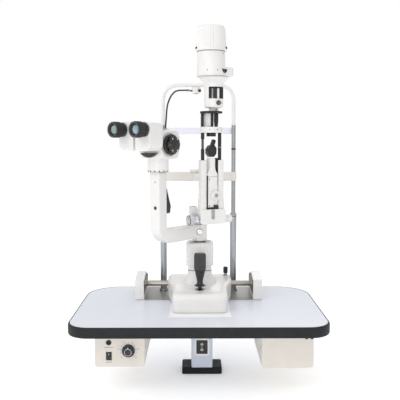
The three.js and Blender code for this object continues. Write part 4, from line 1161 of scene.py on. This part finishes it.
def add_binocular():
    for side, direction in (("left", -1), ("right", 1)):
        low, high = SCOPE.span(side + "_prism_box")
        axis = SCOPE.point(side + "_dioptre_turn")
        back, front = -high.y, -low.y - 4
        radii = (3, 13, 13, 17) if direction < 0 else (17, 13, 13, 3)
        shape = lofted(slab_outline(low.x, high.x, low.z, high.z, *radii),
                       [(5, back), (1.2, back), (0, back + 2), (0, front - 2.6), (0.8, front - 0.7),
                        (2.8, front)], 1.0)
        tube_end = moved(cylinder(15, front - 2, front + 3.8, 0.4), axis.x, axis.z)
        collar = moved(ring(15, 16.4, front - 1, front + 1.6, 0.4), axis.x, axis.z)
        index = moved(block((-0.2, 15.6, front + 0.2), (0.2, 17.2, front + 1.8), 0), axis.x, axis.z)
        parts = [(shape, "casting"), (tube_end, "anodised"), (collar, "steel"), (index, "print")]
        remake(side + "_prism_box", SCOPE, side + "_prism", fronted(parts, 0, 0), sharp=40)

        low, high = SCOPE.span(side + "_eyepiece")
        near, end = -high.y, -low.y
        collar_radius, waist, rim_radius = 16.4, 14.4, 18.2
        rubber = turned([
            (0, near), (15.4, near), (collar_radius, near + 1), (collar_radius, near + 3),
            (collar_radius, near + 5), (waist, near + 6), (waist, near + 7.6), (17.2, near + 8.6),
            (rim_radius, near + 10), (rim_radius, end - 3.4), (17.2, end - 0.6), (15.8, end),
            (14.2, end - 0.4), (10.4, end - 5), (10.2, end - 7), (0, end - 7),
        ], 0.6, 144, ridged(30, 0.9, near + 9.6, end - 3.2))
        rim = ring(14.6, 15.1, end - 0.7, end + 0.1, 0.2)
        glass = turned([(0, end - 4.2), (6, end - 4.6), (10.4, end - 6), (10.4, end - 7.2), (0, end - 7.2)],
                       0.5)
        mark = moved(sized(block((-0.35, -0.2, 0), (0.35, 0.2, 0.3), 0), 3), 0, 15.6, end - 0.35)
        parts = [(rubber, "rubber"), (rim, "steel"), (glass, side + "_lens"), (mark, "pale_print")]
        remake(side + "_eyepiece", SCOPE, side + "_eyepiece", fronted(parts, axis.x, axis.z))


# ---- illumination, in its own swung frame ----
def add_lamp_arm():
    low, high = LAMP.span("illumination_arm")
    shaft = LAMP.point("slit_width_turn")
    hub = cylinder(22, low.z, high.z, 1.8, 64)
    arm = block((-9.5, shaft.y, shaft.z - 9.5), (9.5, 0, shaft.z + 7), 1.6)
    eye = along_x(cylinder(9.5, -9.5, 9.5, 1.0, 48), 0, shaft.y, shaft.z)
    neat = carved(united(hub, arm, eye), cylinder(SPINDLE_BORE, low.z - 9, high.z + 9, 0, 48),
                  along_x(cylinder(SHAFT_BORE, -20, 20, 0, 32), 0, shaft.y, shaft.z))
    cap = ring(11.6, 17, high.z - 0.5, high.z + 0.5, 0.3)
    marks = []
    for step in range(-6, 7):
        tick = block((-0.15, -22.12, high.z - 5), (0.15, -21.7, high.z - (1.6 if step % 3 else 0.4)), 0)
        marks.append((spun(tick, step * 7.5 - 24), "print"))
    remake("illumination_arm", LAMP, "lamp_arm", [(neat, "enamel"), (cap, "steel")] + marks, sharp=40)


def add_yoke():
    low, high = LAMP.span("yoke")
    shaft = LAMP.point("slit_width_turn")
    front = -shaft.y + 16
    shoulder, pod_top, lever_foot = 429, 434, 405
    base = to_front(softened_slab(slab_outline(-33, 33, low.z, shoulder, 7), front - 32, front, 2.2))
    posts = []
    for x in (-ROD_OFFSET, ROD_OFFSET):
        post = lofted(slab_outline(x - 7.5, x + 7.5, shaft.y - 10, shaft.y + 10, 3.5),
                      [(0.5, shoulder - 4), (0, shoulder - 3), (0, high.z - 1.4), (1.2, high.z)], 0.8)
        posts.append(post)
    gussets = []
    for direction in (-1, 1):
        wedge = soften([(17, shoulder - 6), (32.6, shoulder - 6), (30.4, shoulder + 27),
                        (17, shoulder + 44)], 4,
                       closed=True)
        wedge = prism(wedge, front - 25, front - 7, 1.4)
        gussets.append(to_front(wedge if direction > 0 else mirrored(wedge)))
    pod = block((-47, shaft.y + 14.5, 410), (-30, shaft.y + 29, pod_top), 2)
    pod_slot = softened_slab(slab_outline(-45, -32, shaft.y + 16.5, shaft.y + 26.5, 2), pod_top - 0.8,
                             pod_top + 0.3, 0.2)
    bridge = block((-33, shaft.y + 12, 410.4), (-23, shaft.y + 29, 422), 1)
    slot = block((-10.2, shaft.y - 13, low.z - 10), (10.2, -20, shaft.z + 12), 0)
    bore = along_x(cylinder(SHAFT_BORE, -60, 60, 0, 32), 0, shaft.y, shaft.z)
    shell = carved(united(base, *posts), slot, bore)
    sockets = [moved(ring(4.5, 6.2, high.z - 1, high.z + 0.2, 0.2), x, shaft.y)
               for x in (-ROD_OFFSET, ROD_OFFSET)]
    # painted shade: a dark block laid in the gap above the yoke's shoulder, where shade falls
    gap_shade = block((-15, shaft.y - 11.4, shoulder - 0.8), (14.8, shaft.y - 8, shoulder + 5), 0.3)
    stop = block((1.6, shaft.y - 15.6, shoulder + 1), (12.2, shaft.y - 10.4, shoulder + 10), 0.8)
    lever = to_front(softened_slab(slab_outline(-5.5, 2.5, lever_foot, shoulder - 0.5, 2), front - 0.6,
                                   front + 1.4, 0.4))
    pin = to_front(disc_screw(2.2, 0.9, 0.7), -1.5, -front - 1.2, 409.5)
    extension = along_x(ring(4.6, 9.4, 32, 43, 0.8), 0, shaft.y, shaft.z)
    side_screw = along_x(disc_screw(2.6, 0.9, 0.8), 32.6, shaft.y - 9, 411)
    remake("yoke", LAMP, "tower", [
        (shell, "enamel"), (pod, "enamel"), (pod_slot, "black"), (bridge, "enamel"), (gap_shade, "seam"),
        (stop, "black"), (lever, "steel"), (pin, "steel"), (extension, "enamel"), (side_screw, "steel")]
        + in_finish("enamel", gussets) + in_finish("anodised", sockets), sharp=40)

    wheel = turned([(0, -63), (8.6, -63), (11.8, -61.6), (12.2, -59), (12.2, -48), (11.2, -46.6), (9.2, -46),
                    (9.2, -42.6), (11.4, -41.6), (11.4, -36), (10.4, -34.6), (0, -34.6)], 0.7, 144,
                   ridged(14, 1.5, -61.4, -47))
    knob = turned([(0, 43.4), (8.2, 43.4), (9.5, 44.4), (9.5, 52.6), (8.4, 54), (6, 54), (5.4, 56),
                   (0, 56)], 0.6, 96,
                  ridged(18, 0.8, 44.4, 52.6))
    rod = cylinder(4, -58, 54, 0.3)
    dial = ring(12.0, 12.6, -59.6, -58.4, 0.2)
    parts = [(wheel, "chrome"), (knob, "moulding"), (rod, "steel"), (dial, "anodised")]
    remake("slit_width_shaft", LAMP, "slit_width", crosswise(parts, shaft.y, shaft.z))


def add_prism_column():
    low, high = LAMP.span("prism_column")
    front, back = -low.y, -high.y
    floor = low.z + 4
    shoulder, throat, seam, first_tick = 514, 531, 507.7, 436
    view = soften([(low.x, floor), (high.x, floor), (high.x, shoulder), (7.4, 523), (6, throat), (6, high.z),
                   (-8, high.z), (-8, throat), (-9.4, 523), (low.x, shoulder)], 2.2, closed=True)
    body = to_front(prism(view, back, front, 0.9))
    groove = slab_outline(low.x + 0.6, high.x - 0.6, seam, seam + 0.7, 0.2)(0)
    groove = to_front(prism(groove, front - 0.4, front + 0.12, 0))
    # painted shade: dark strips along the column's sides darken the gaps beside the yoke's posts
    gap_shade_strips = [block((low.x - 0.3, low.y - 0.15, floor), (low.x + 2, low.y + 2, 511), 0.1),
              block((high.x + 0.1, low.y + 3, 486), (high.x + 2.2, high.y - 3, high.z), 0.1)]
    tenon = block((low.x + 2, low.y + 2, low.z), (high.x - 2, high.y - 2, floor + 1), 0.2)
    ticks = []
    for step in range(17):
        width, z = 2.4 if step % 5 else 4, first_tick + 4 * step
        tick = slab_outline(-11.5, -11.5 + width, z, z + 0.35, 0.1)(0)
        ticks.append(to_front(prism(tick, front - 0.2, front + 0.1, 0)))
    holes = [to_front(disc_screw(1.3, 0.6, 0.4), -9.6, -front - 0.2, z) for z in (437, 502)]
    parts = [(body, "enamel"), (tenon, "seam"), (groove, "print")] + in_finish("seam", gap_shade_strips)
    parts += in_finish("shaded", ticks) + in_finish("anodised", holes)
    remake("prism_column", LAMP, "tower", parts, sharp=40)

    low, high = LAMP.span("centering_knob")
    middle = (low + high) / 2
    knob = turned([(0, -high.y), (10.6, -high.y), (11.5, -high.y + 1.4), (11.5, -low.y - 2),
                   (10.4, -low.y - 0.4), (8.6, -low.y), (7.8, -low.y - 0.8), (0, -low.y - 1)], 0.6, 96,
                  ridged(30, 0.5, -high.y + 1.4, -low.y - 2))
    centre = carved(cylinder(4.6, -low.y - 1.4, -low.y + 0.3, 0.4),
                    block((-0.7, -6, -low.y - 0.6), (0.7, 6, 99), 0))
    bright = ring(7.9, 8.8, -low.y - 0.7, -low.y + 0.1, 0.2)
    parts = [(knob, "moulding"), (spun(centre, -35), "steel"), (bright, "chrome")]
    remake("centering_knob", LAMP, "centering", fronted(parts, middle.x, middle.z))

    middle = LAMP.middle("mirror_holder")
    hexagon = soften([(-11.6, 563), (-6, 556), (4, 556), (10, 563), (10.8, 576), (6, 584), (-5, 584),
                      (-11.8, 575)],
                     1.2, closed=True)
    body = to_front(prism(hexagon, -middle.y - 10, -middle.y + 10, 1.2))
    handle = soften([(-4, 580), (4, 580), (8.4, 590), (9.4, 596), (3, 598.6), (0, 590)], 1.4, closed=True)
    handle = to_front(prism(handle, -middle.y - 4, -middle.y + 8, 1.0))
    hub = turned([(0, -middle.y + 9.4), (6.4, -middle.y + 9.4), (5.6, -middle.y + 10.8),
                  (0, -middle.y + 10.4)], 0.4)
    hub = to_front(hub, 0, 0, 570)
    lever = to_front(softened_slab(slab_outline(-15.4, -10, 571.6, 574.6, 1.3), -middle.y + 1,
                                   -middle.y + 4, 0.6))
    glass = block((-8, middle.y - 6, 555.7), (6, middle.y + 9, 557), 0.3)
    remake("mirror_holder", LAMP, "mirror", [(body, "anodised"), (handle, "anodised"), (hub, "black"),
                                             (lever, "anodised"), (glass, "dark_lens")])


def add_tower():
    low, high = LAMP.span("tower_frame")
    floor = high.z - 14
    collar = ring(8, 27.5, floor, high.z, 1.2, 64)
    barrel = ring(8.2, 11.5, floor - 9, floor + 1, 0.6)
    glass = turned([(0, floor - 6.6), (8.6, floor - 5.6), (8.6, floor - 3), (0, floor - 3)], 0.5)
    foot = low.z
    left = turned([(0, foot), (4.3, foot), (4.3, foot + 26), (2.7, foot + 27), (2.7, foot + 50),
                   (4.3, foot + 51), (4.3, floor + 2), (0, floor + 2)], 0.3, 40)
    thin = ring(2.6, 2.95, foot + 27.2, foot + 49.8, 0.1, 40)
    right = turned([(0, foot), (4.3, foot), (4.3, floor + 2), (0, floor + 2)], 0.3, 40)
    band = ring(4.2, 4.55, foot + 30, foot + 31.4, 0.1, 40)
    parts = [(moved(shape, x), look) for shape, look, x in (
        (collar, "enamel", 0), (barrel, "anodised", 0), (glass, "right_lens", 0),
        (left, "anodised", -ROD_OFFSET), (thin, "gear", -ROD_OFFSET), (right, "anodised", ROD_OFFSET),
        (band, "steel", ROD_OFFSET))]
    parts += heads_round((-120, -82, -44), 27.1, floor + 7.5, "anodised", 1.4, 0.7, 0.45)
    remake("tower_frame", LAMP, "tower", placed(parts, 0, TOWER_Y))


def add_slit_unit():
    low, high = LAMP.span("slit_unit")
    top = high.z - 5.7

    def bar(x0, x1, depth, taper=0.0):
        view = soften([(x0 + taper, low.z), (x1 - taper, low.z), (x1, low.z + 14), (x1, top + 0.6),
                       (x0, top + 0.6), (x0, low.z + 14)], 0.8, closed=True)
        return to_front(prism(view, -depth, depth, 0.6))

    scale = prism(gear_outline(44, 25.8, 27, 1.2, 0.7), top + 0.6, high.z - 0.5, 0.3)
    flange = turned([(0, top), (25, top), (25.4, top + 1), (25.4, high.z - 1), (24, high.z), (0, high.z)],
                    0.4, 64)
    parts = [(flange, "anodised"), (scale, "anodised"), (bar(-26, -21, 4), "anodised"),
             (bar(-17, -5, 9), "casting"), (bar(-3.5, 2.5, 9), "black"), (bar(8.5, 17.5, 4, 1.6), "black")]
    for step in range(10):
        width = 4.2 if step % 5 == 0 else 2.4
        z = low.z + 3 + 2.8 * step
        tick = prism(slab_outline(-16.4, -16.4 + width, z, z + 0.5, 0.1)(0), 8.8, 9.15, 0)
        parts.append((to_front(tick), "print"))
    parts += heads_round((-140, -75), 25.2, top + 2.6, "steel", 1.6, 1.2, 0.5)
    remake("slit_unit", LAMP, "lamp_head", placed(parts, 0, TOWER_Y))


def add_lamp_body():
    low, high = LAMP.span("lamp_body")
    seam, axis_x = high.z, (low.x + high.x) / 2
    body = turned([(0, 673.4), (20.5, 673.4), (22.8, 675), (22.8, 726), (24.4, 731), (30, 738.4),
                   (35, seam - 0.6), (34.7, seam), (0, seam)], 1.6, 96)
    sill, lintel, knob_x, knob_z = 695, 723, 2, 685
    window = block((-19, -30, sill), (19, -13, lintel), 0)
    neck = turned([(0, low.z), (12, low.z), (12, low.z + 2), (11, low.z + 2.6), (11, low.z + 5.4),
                   (12, low.z + 6), (12, 674), (0, 674)], 0.3, 48)
    drum = turned([(0, 694.4), (17.4, 694.4), (17.4, 723.4), (0, 723.4)], 0.4, 144,
                  ridged(20, 2.2, sill, lintel))
    lining = block((-18.8, -14, sill + 0.2), (18.8, -12.8, lintel - 0.2), 0)
    slats = [(block((-12.4, -16.6, 694.6), (-8.4, -12, 719.6), 0.3), "steel"),
             (block((1.2, -20, 694.6), (5.8, -15.4, 719.6), 0.5), "moulding")]
    crown = []
    for step in range(9):
        tooth = block((-1.9, -21.8, 719.4 + 1.8 * (step % 2)), (1.9, -17, 723.6), 0.5)
        crown.append(spun(tooth, 13 * (step - 4)))
    knob = turned([(0, 20), (5.5, 20), (5.5, 26), (4.4, 27.4), (2, 27.6), (1.6, 30), (0, 30)], 0.4, 72,
                  ridged(14, 0.6, 22, 26))
    knob = to_front(knob, knob_x, 0, knob_z)
    tip = to_front(cylinder(2.2, 27.4, 28.6, 0.3), knob_x, 0, knob_z)
    pin = along_x(cylinder(0.8, 4, 12, 0.2, 16), 0, -26.4, 683.4)
    screw_head = to_front(disc_screw(1.6, 0.8, 0.5), 1.5, -11.9, 669.4)
    parts = [(carved(body, window), "casting"), (neck, "moulding"), (drum, "black"), (lining, "black"),
             (knob, "gear"), (tip, "chrome"), (pin, "steel"), (screw_head, "winding")]
    parts += slats + in_finish("black", crown)
    remake("lamp_body", LAMP, "lamp_head", placed(parts, axis_x, TOWER_Y), sharp=40)


def add_lamp_housing():
    low, high = LAMP.span("lamp_housing")
    wheel = LAMP.point("filter_turn")
    wheel_low, wheel_high = LAMP.span("filter_wheel")
    drum = turned([(0, low.z), (33, low.z), (34, low.z + 1.2), (34, 770.5), (33.4, 772.5),
                   (33.4, high.z - 1.6), (32.6, high.z - 1.4), (32.6, high.z), (0, high.z)], 0.8, 96)
    arm = lofted(slab_outline(0, high.x, -18, 18, 11),
                 [(3.4, 749), (1, 749.6), (0, 752), (0, 768), (1, 770.4), (3.4, 771)], 1)
    slot = cylinder(wheel_high.x - wheel.x + 1, wheel_low.z - 0.6, wheel_high.z + 0.6, 0, 48)
    slot = moved(slot, wheel.x, wheel.y - TOWER_Y)
    lip = ring(33.8, 34.6, low.z + 0.4, low.z + 2.4, 0.3, 96)
    moon = [Vector((wheel.x + point.x, wheel_high.z + 1 + point.y))
            for point in arc((0, 0), 10, 180, 360, 20)]
    recess = to_front(prism(moon, 13, 45, 0))
    rounded = combined("INTERSECT", cylinder(33.4, 740, 790, 0, 96), [to_front(prism(moon, 17.5, 45, 0))])
    linings = [carved(lining, slot.copy()) for lining in (to_front(prism(moon, 12.4, 17.6, 0)), rounded)]
    parts = [(carved(united(drum, arm), recess, slot), "casting"), (lip, "shaded")]
    parts += in_finish("black", linings)
    parts += heads_round((-57,), 33.0, 800, "steel", 1.7, 0.8, 0.55)
    parts += heads_round((-130, -88), 33.7, 761, "steel", 1.7, 0.8, 0.55)
    remake("lamp_housing", LAMP, "lamp_head", placed(parts, 0, TOWER_Y), sharp=40)

    thickness = wheel_high.z - wheel_low.z
    disc = turned([(0, 0), (13, 0), (14, 0.8), (14, thickness - 0.8), (13, thickness), (0, thickness)], 0.4,
                  144, ridged(24, 0.8, 0.6, thickness - 0.6))
    hub = cylinder(4, -0.3, thickness + 0.3, 0.2)
    parts = [(disc, "black"), (hub, "steel")]
    remake("filter_wheel", LAMP, "filter", placed(parts, wheel.x, wheel.y, wheel_low.z))


def add_lamp_cap():
    low, high = LAMP.span("lamp_cap")

    def flutes(angle, radius, height):
        off_panel = abs(math.remainder(angle + math.radians(76), math.pi)) > math.radians(28)
        if not (off_panel and low.z + 7 < height < high.z - 7):
            return radius
        return radius - 1.7 * (0.5 - 0.5 * math.cos(angle * 36)) ** 2

    cap = turned([(0, low.z), (35.6, low.z), (37, low.z + 1.2), (36.8, low.z + 6), (36.2, low.z + 8),
                  (35.4, low.z + 22), (34.5, low.z + 36), (33.4, high.z - 10), (32.6, high.z - 6),
                  (30.4, high.z - 2.8), (22, high.z), (0, high.z)], 1.0, 288, flutes)
    shadow = ring(31, 33.2, low.z - 0.9, low.z + 0.6, 0.2, 96)
    rim = ring(36.2, 37.25, low.z + 1.2, low.z + 2.6, 0.3, 96)
    parts = [(cap, "moulding"), (shadow, "seam"), (rim, "moulding")]
    for turn in (171, -39):
        head = turned([(0, 35), (2.8, 35), (2.8, 38.4), (2.2, 39), (0, 38.7)], 0.3, 24)
        parts.append((spun(to_front(head, 0, 0, low.z + 7), turn + 90), "black"))
    remake("lamp_cap", LAMP, "lamp_head", placed(parts, 0, TOWER_Y), sharp=50)


# ---- headrest ----
def add_headrest_posts():
    for side in ("left", "right"):
        low, high = ROOM.span(side + "_headrest_post")
        middle = ROOM.middle(side + "_headrest_post")
        tube_top, clamp_z = 398, 570
        post = turned([(0, low.z), (8.6, low.z), (8.6, tube_top - 1.4), (7.2, tube_top), (5.4, tube_top),
                       (5.4, high.z - 0.4), (5, high.z), (0, high.z)], 0.4, 48)
        flange = ring(8.5, 11.6, low.z, low.z + 5.5, 1.0)
        clamp = ring(5.3, 6.1, clamp_z, clamp_z + 4, 0.3)
        collar = ring(8.5, 9, tube_top - 9, tube_top - 7.6, 0.2)
        parts = [(post, "steel"), (flange, "steel"), (clamp, "anodised"), (collar, "anodised")]
        remake(side + "_headrest_post", ROOM, "table", placed(parts, middle.x, middle.y))


def add_bow():
    low, high = ROOM.span("headrest_bow")
    y = (low.y + high.y) / 2
    radius = (high.y - low.y) / 2
    left, right, roof = low.x + radius, high.x - radius, high.z - radius
    corners = soften([(left, low.z), (left, roof), (right, roof), (right, low.z)], 46, steps=12)
    path = []
    for start, end in zip(corners, corners[1:]):
        count = max(1, int((end - start).length / 9))
        path += [start.lerp(end, step / count) for step in range(count)]
    path.append(corners[-1])
    bow = tube([Vector((point.x, y, point.y)) for point in path], radius, 28)
    ends = [moved(ring(4.8, 6.3, low.z - 0.6, low.z + 3, 0.4), x, y) for x in (left, right)]
    remake("headrest_bow", ROOM, "table", in_finish("moulding", [bow, *ends]))


def band_plan(half, offset, bow, thickness, steps=24):
    front, back = [], []
    for step in range(steps + 1):
        t = step / steps
        x = -half + 2 * half * t
        y = offset - 4 * bow * t * (1 - t)
        front.append(Vector((x, y)))
        back.append(Vector((x, y + thickness)))
    return front + back[::-1]


def add_bands():
    half, y = ROOM.middle("right_headrest_post").xy
    low, high = ROOM.span("forehead_band")
    strap = prism(band_plan(half + 5, 6.6, 8, 4), low.z, high.z, 0.9)
    welt = [prism(band_plan(half - 8, 5.2, 6.8, 0.6), z, z + 1.2, 0.2) for z in (low.z + 2.2, high.z - 3.4)]
    remake("forehead_band", ROOM, "table", placed(in_finish("strap", [strap, *welt]), 0, y))

    low, high = ROOM.span("chin_bar")
    bar = prism(band_plan(half, -4, 6, 8), low.z, high.z, 1.4)
    sleeves = [moved(ring(5.7, 7.6, low.z, high.z, 0.6), x) for x in (-half, half)]
    knob_axis = ROOM.point("chin_knob_turn")
    shaft_bore = to_front(cylinder(2.6, 0, 40), knob_axis.x, 0, knob_axis.z)
    boss = carved(moved(ring(5.4, 16, low.z, high.z, 1.2, 64), 0, -6), shaft_bore)
    heads = [along_x(disc_screw(2.4, 1.0, 0.8), half + 7.2, 0, (low.z + high.z) / 2) for _ in range(2)]
    parts = in_finish("beige", [bar, boss, *sleeves]) + in_finish("steel", [heads[0], mirrored(heads[1])])
    remake("chin_bar", ROOM, "table", placed(parts, 0, y), sharp=40)

    low, high = ROOM.span("chin_cup")
    middle = (low.y + high.y) / 2
    cup = lofted(slab_outline(low.x, high.x, low.y, high.y, 16), [
        (4, high.z - 6), (1.4, high.z - 5.4), (0, high.z - 3.4), (0, high.z - 1), (0.8, high.z),
        (2, high.z)], 1.0)
    hollow = bmesh.new()
    bmesh.ops.create_uvsphere(hollow, u_segments=48, v_segments=24, radius=60)
    moved(sized(hollow, 0.33, 0.32, 0.07), 0, middle, high.z + 1)
    stem = moved(cylinder(4.8, low.z, high.z - 4.6, 0.5), 0, y - 6)
    remake("chin_cup", ROOM, "chin_cup", [(carved(cup, hollow), "beige"), (stem, "steel")])

    low, high = ROOM.span("chin_height_knob")
    near, far = -knob_axis.y, -low.y
    knob = turned([(0, near + 0.3), (6.6, near + 0.3), (7.5, near + 1.2), (7.5, far - 1.6), (6.4, far - 0.3),
                   (3, far), (0, far - 0.3)], 0.5, 96, ridged(14, 0.6, near + 1.4, far - 1.8))
    shaft = cylinder(2.2, -high.y, near + 1, 0.3)
    parts = [(knob, "moulding"), (shaft, "steel")]
    remake("chin_height_knob", ROOM, "chin_knob", fronted(parts, knob_axis.x, knob_axis.z))


def add_fixation_arm():
    pivot = ROOM.point("fixation_swing")
    low, high = ROOM.span("fixation_arm")
    roof = high.z
    disc = turned([(0, roof - 17), (9, roof - 17), (11.6, roof - 15.6), (12.5, roof - 12), (12.5, roof - 3),
                   (11.8, roof - 1), (8, roof), (0, roof)], 1.0, 64)
    cap = turned([(0, roof - 18.2), (5, roof - 18.2), (5.4, roof - 16.4), (0, roof - 16.4)], 0.3)
    knob = turned([(0, 11.5), (3.6, 11.5), (3.8, 16.6), (3, 17.6), (0, 17.6)], 0.4, 72,
                  ridged(12, 0.5, 12, 16.8))
    knob = spun(to_front(knob, 0, 0, roof - 10), 40)
    parts = placed([(disc, "moulding"), (cap, "black"), (knob, "black")], pivot.x, pivot.y)
    lamp_x, lamp_z = low.x + 7, low.z + 7
    route = [Vector((pivot.x - 8, pivot.y - 4, roof - 10.7)), Vector((-34, pivot.y - 20, roof - 9.7)),
             Vector((-62, pivot.y - 42, roof - 15.7)), Vector((-79, pivot.y - 56, roof - 45.7)),
             Vector((-84, pivot.y - 62, roof - 89.7)), Vector((lamp_x, pivot.y - 63, lamp_z + 1))]
    path = through(route, 10)
    parts.append((tube(path, 2.1, 16), "black"))
    shroud = turned([(0, 46.4), (5.6, 46.4), (7, 48), (7, 66), (6.2, 68), (4.6, 68), (4.2, 65.4),
                     (0, 65.4)], 0.5)
    bulb = turned([(0, 67), (2.6, 66.4), (4.2, 65), (0, 65)], 0.3)
    parts += placed([(to_front(shroud), "black"), (to_front(bulb), "red_print")], lamp_x, pivot.y, lamp_z)
    for share in (0.12, 0.94):
        first = int(share * (len(path) - 1))
        here, there = path[first:first + 2]
        turn = (there - here).to_track_quat("Z", "Y").to_matrix().to_4x4()
        ferrule = turned_by(cylinder(3.0, -3, 3, 0.5, 32), Matrix.Translation(here) @ turn)
        parts.append((ferrule, "steel"))
    remake("fixation_arm", ROOM, "fixation_arm", parts)


add_column()
add_switch_panel()
add_table()
add_power_box()
add_drawer()
add_rails()
add_axle()
add_base()
add_joystick()
add_post()
add_arm()
add_microscope_body()
add_magnification_knob()
add_binocular()
add_lamp_arm()
add_yoke()
add_prism_column()
add_tower()
add_slit_unit()
add_lamp_body()
add_lamp_housing()
add_lamp_cap()
add_headrest_posts()
add_bow()
add_bands()
add_fixation_arm()
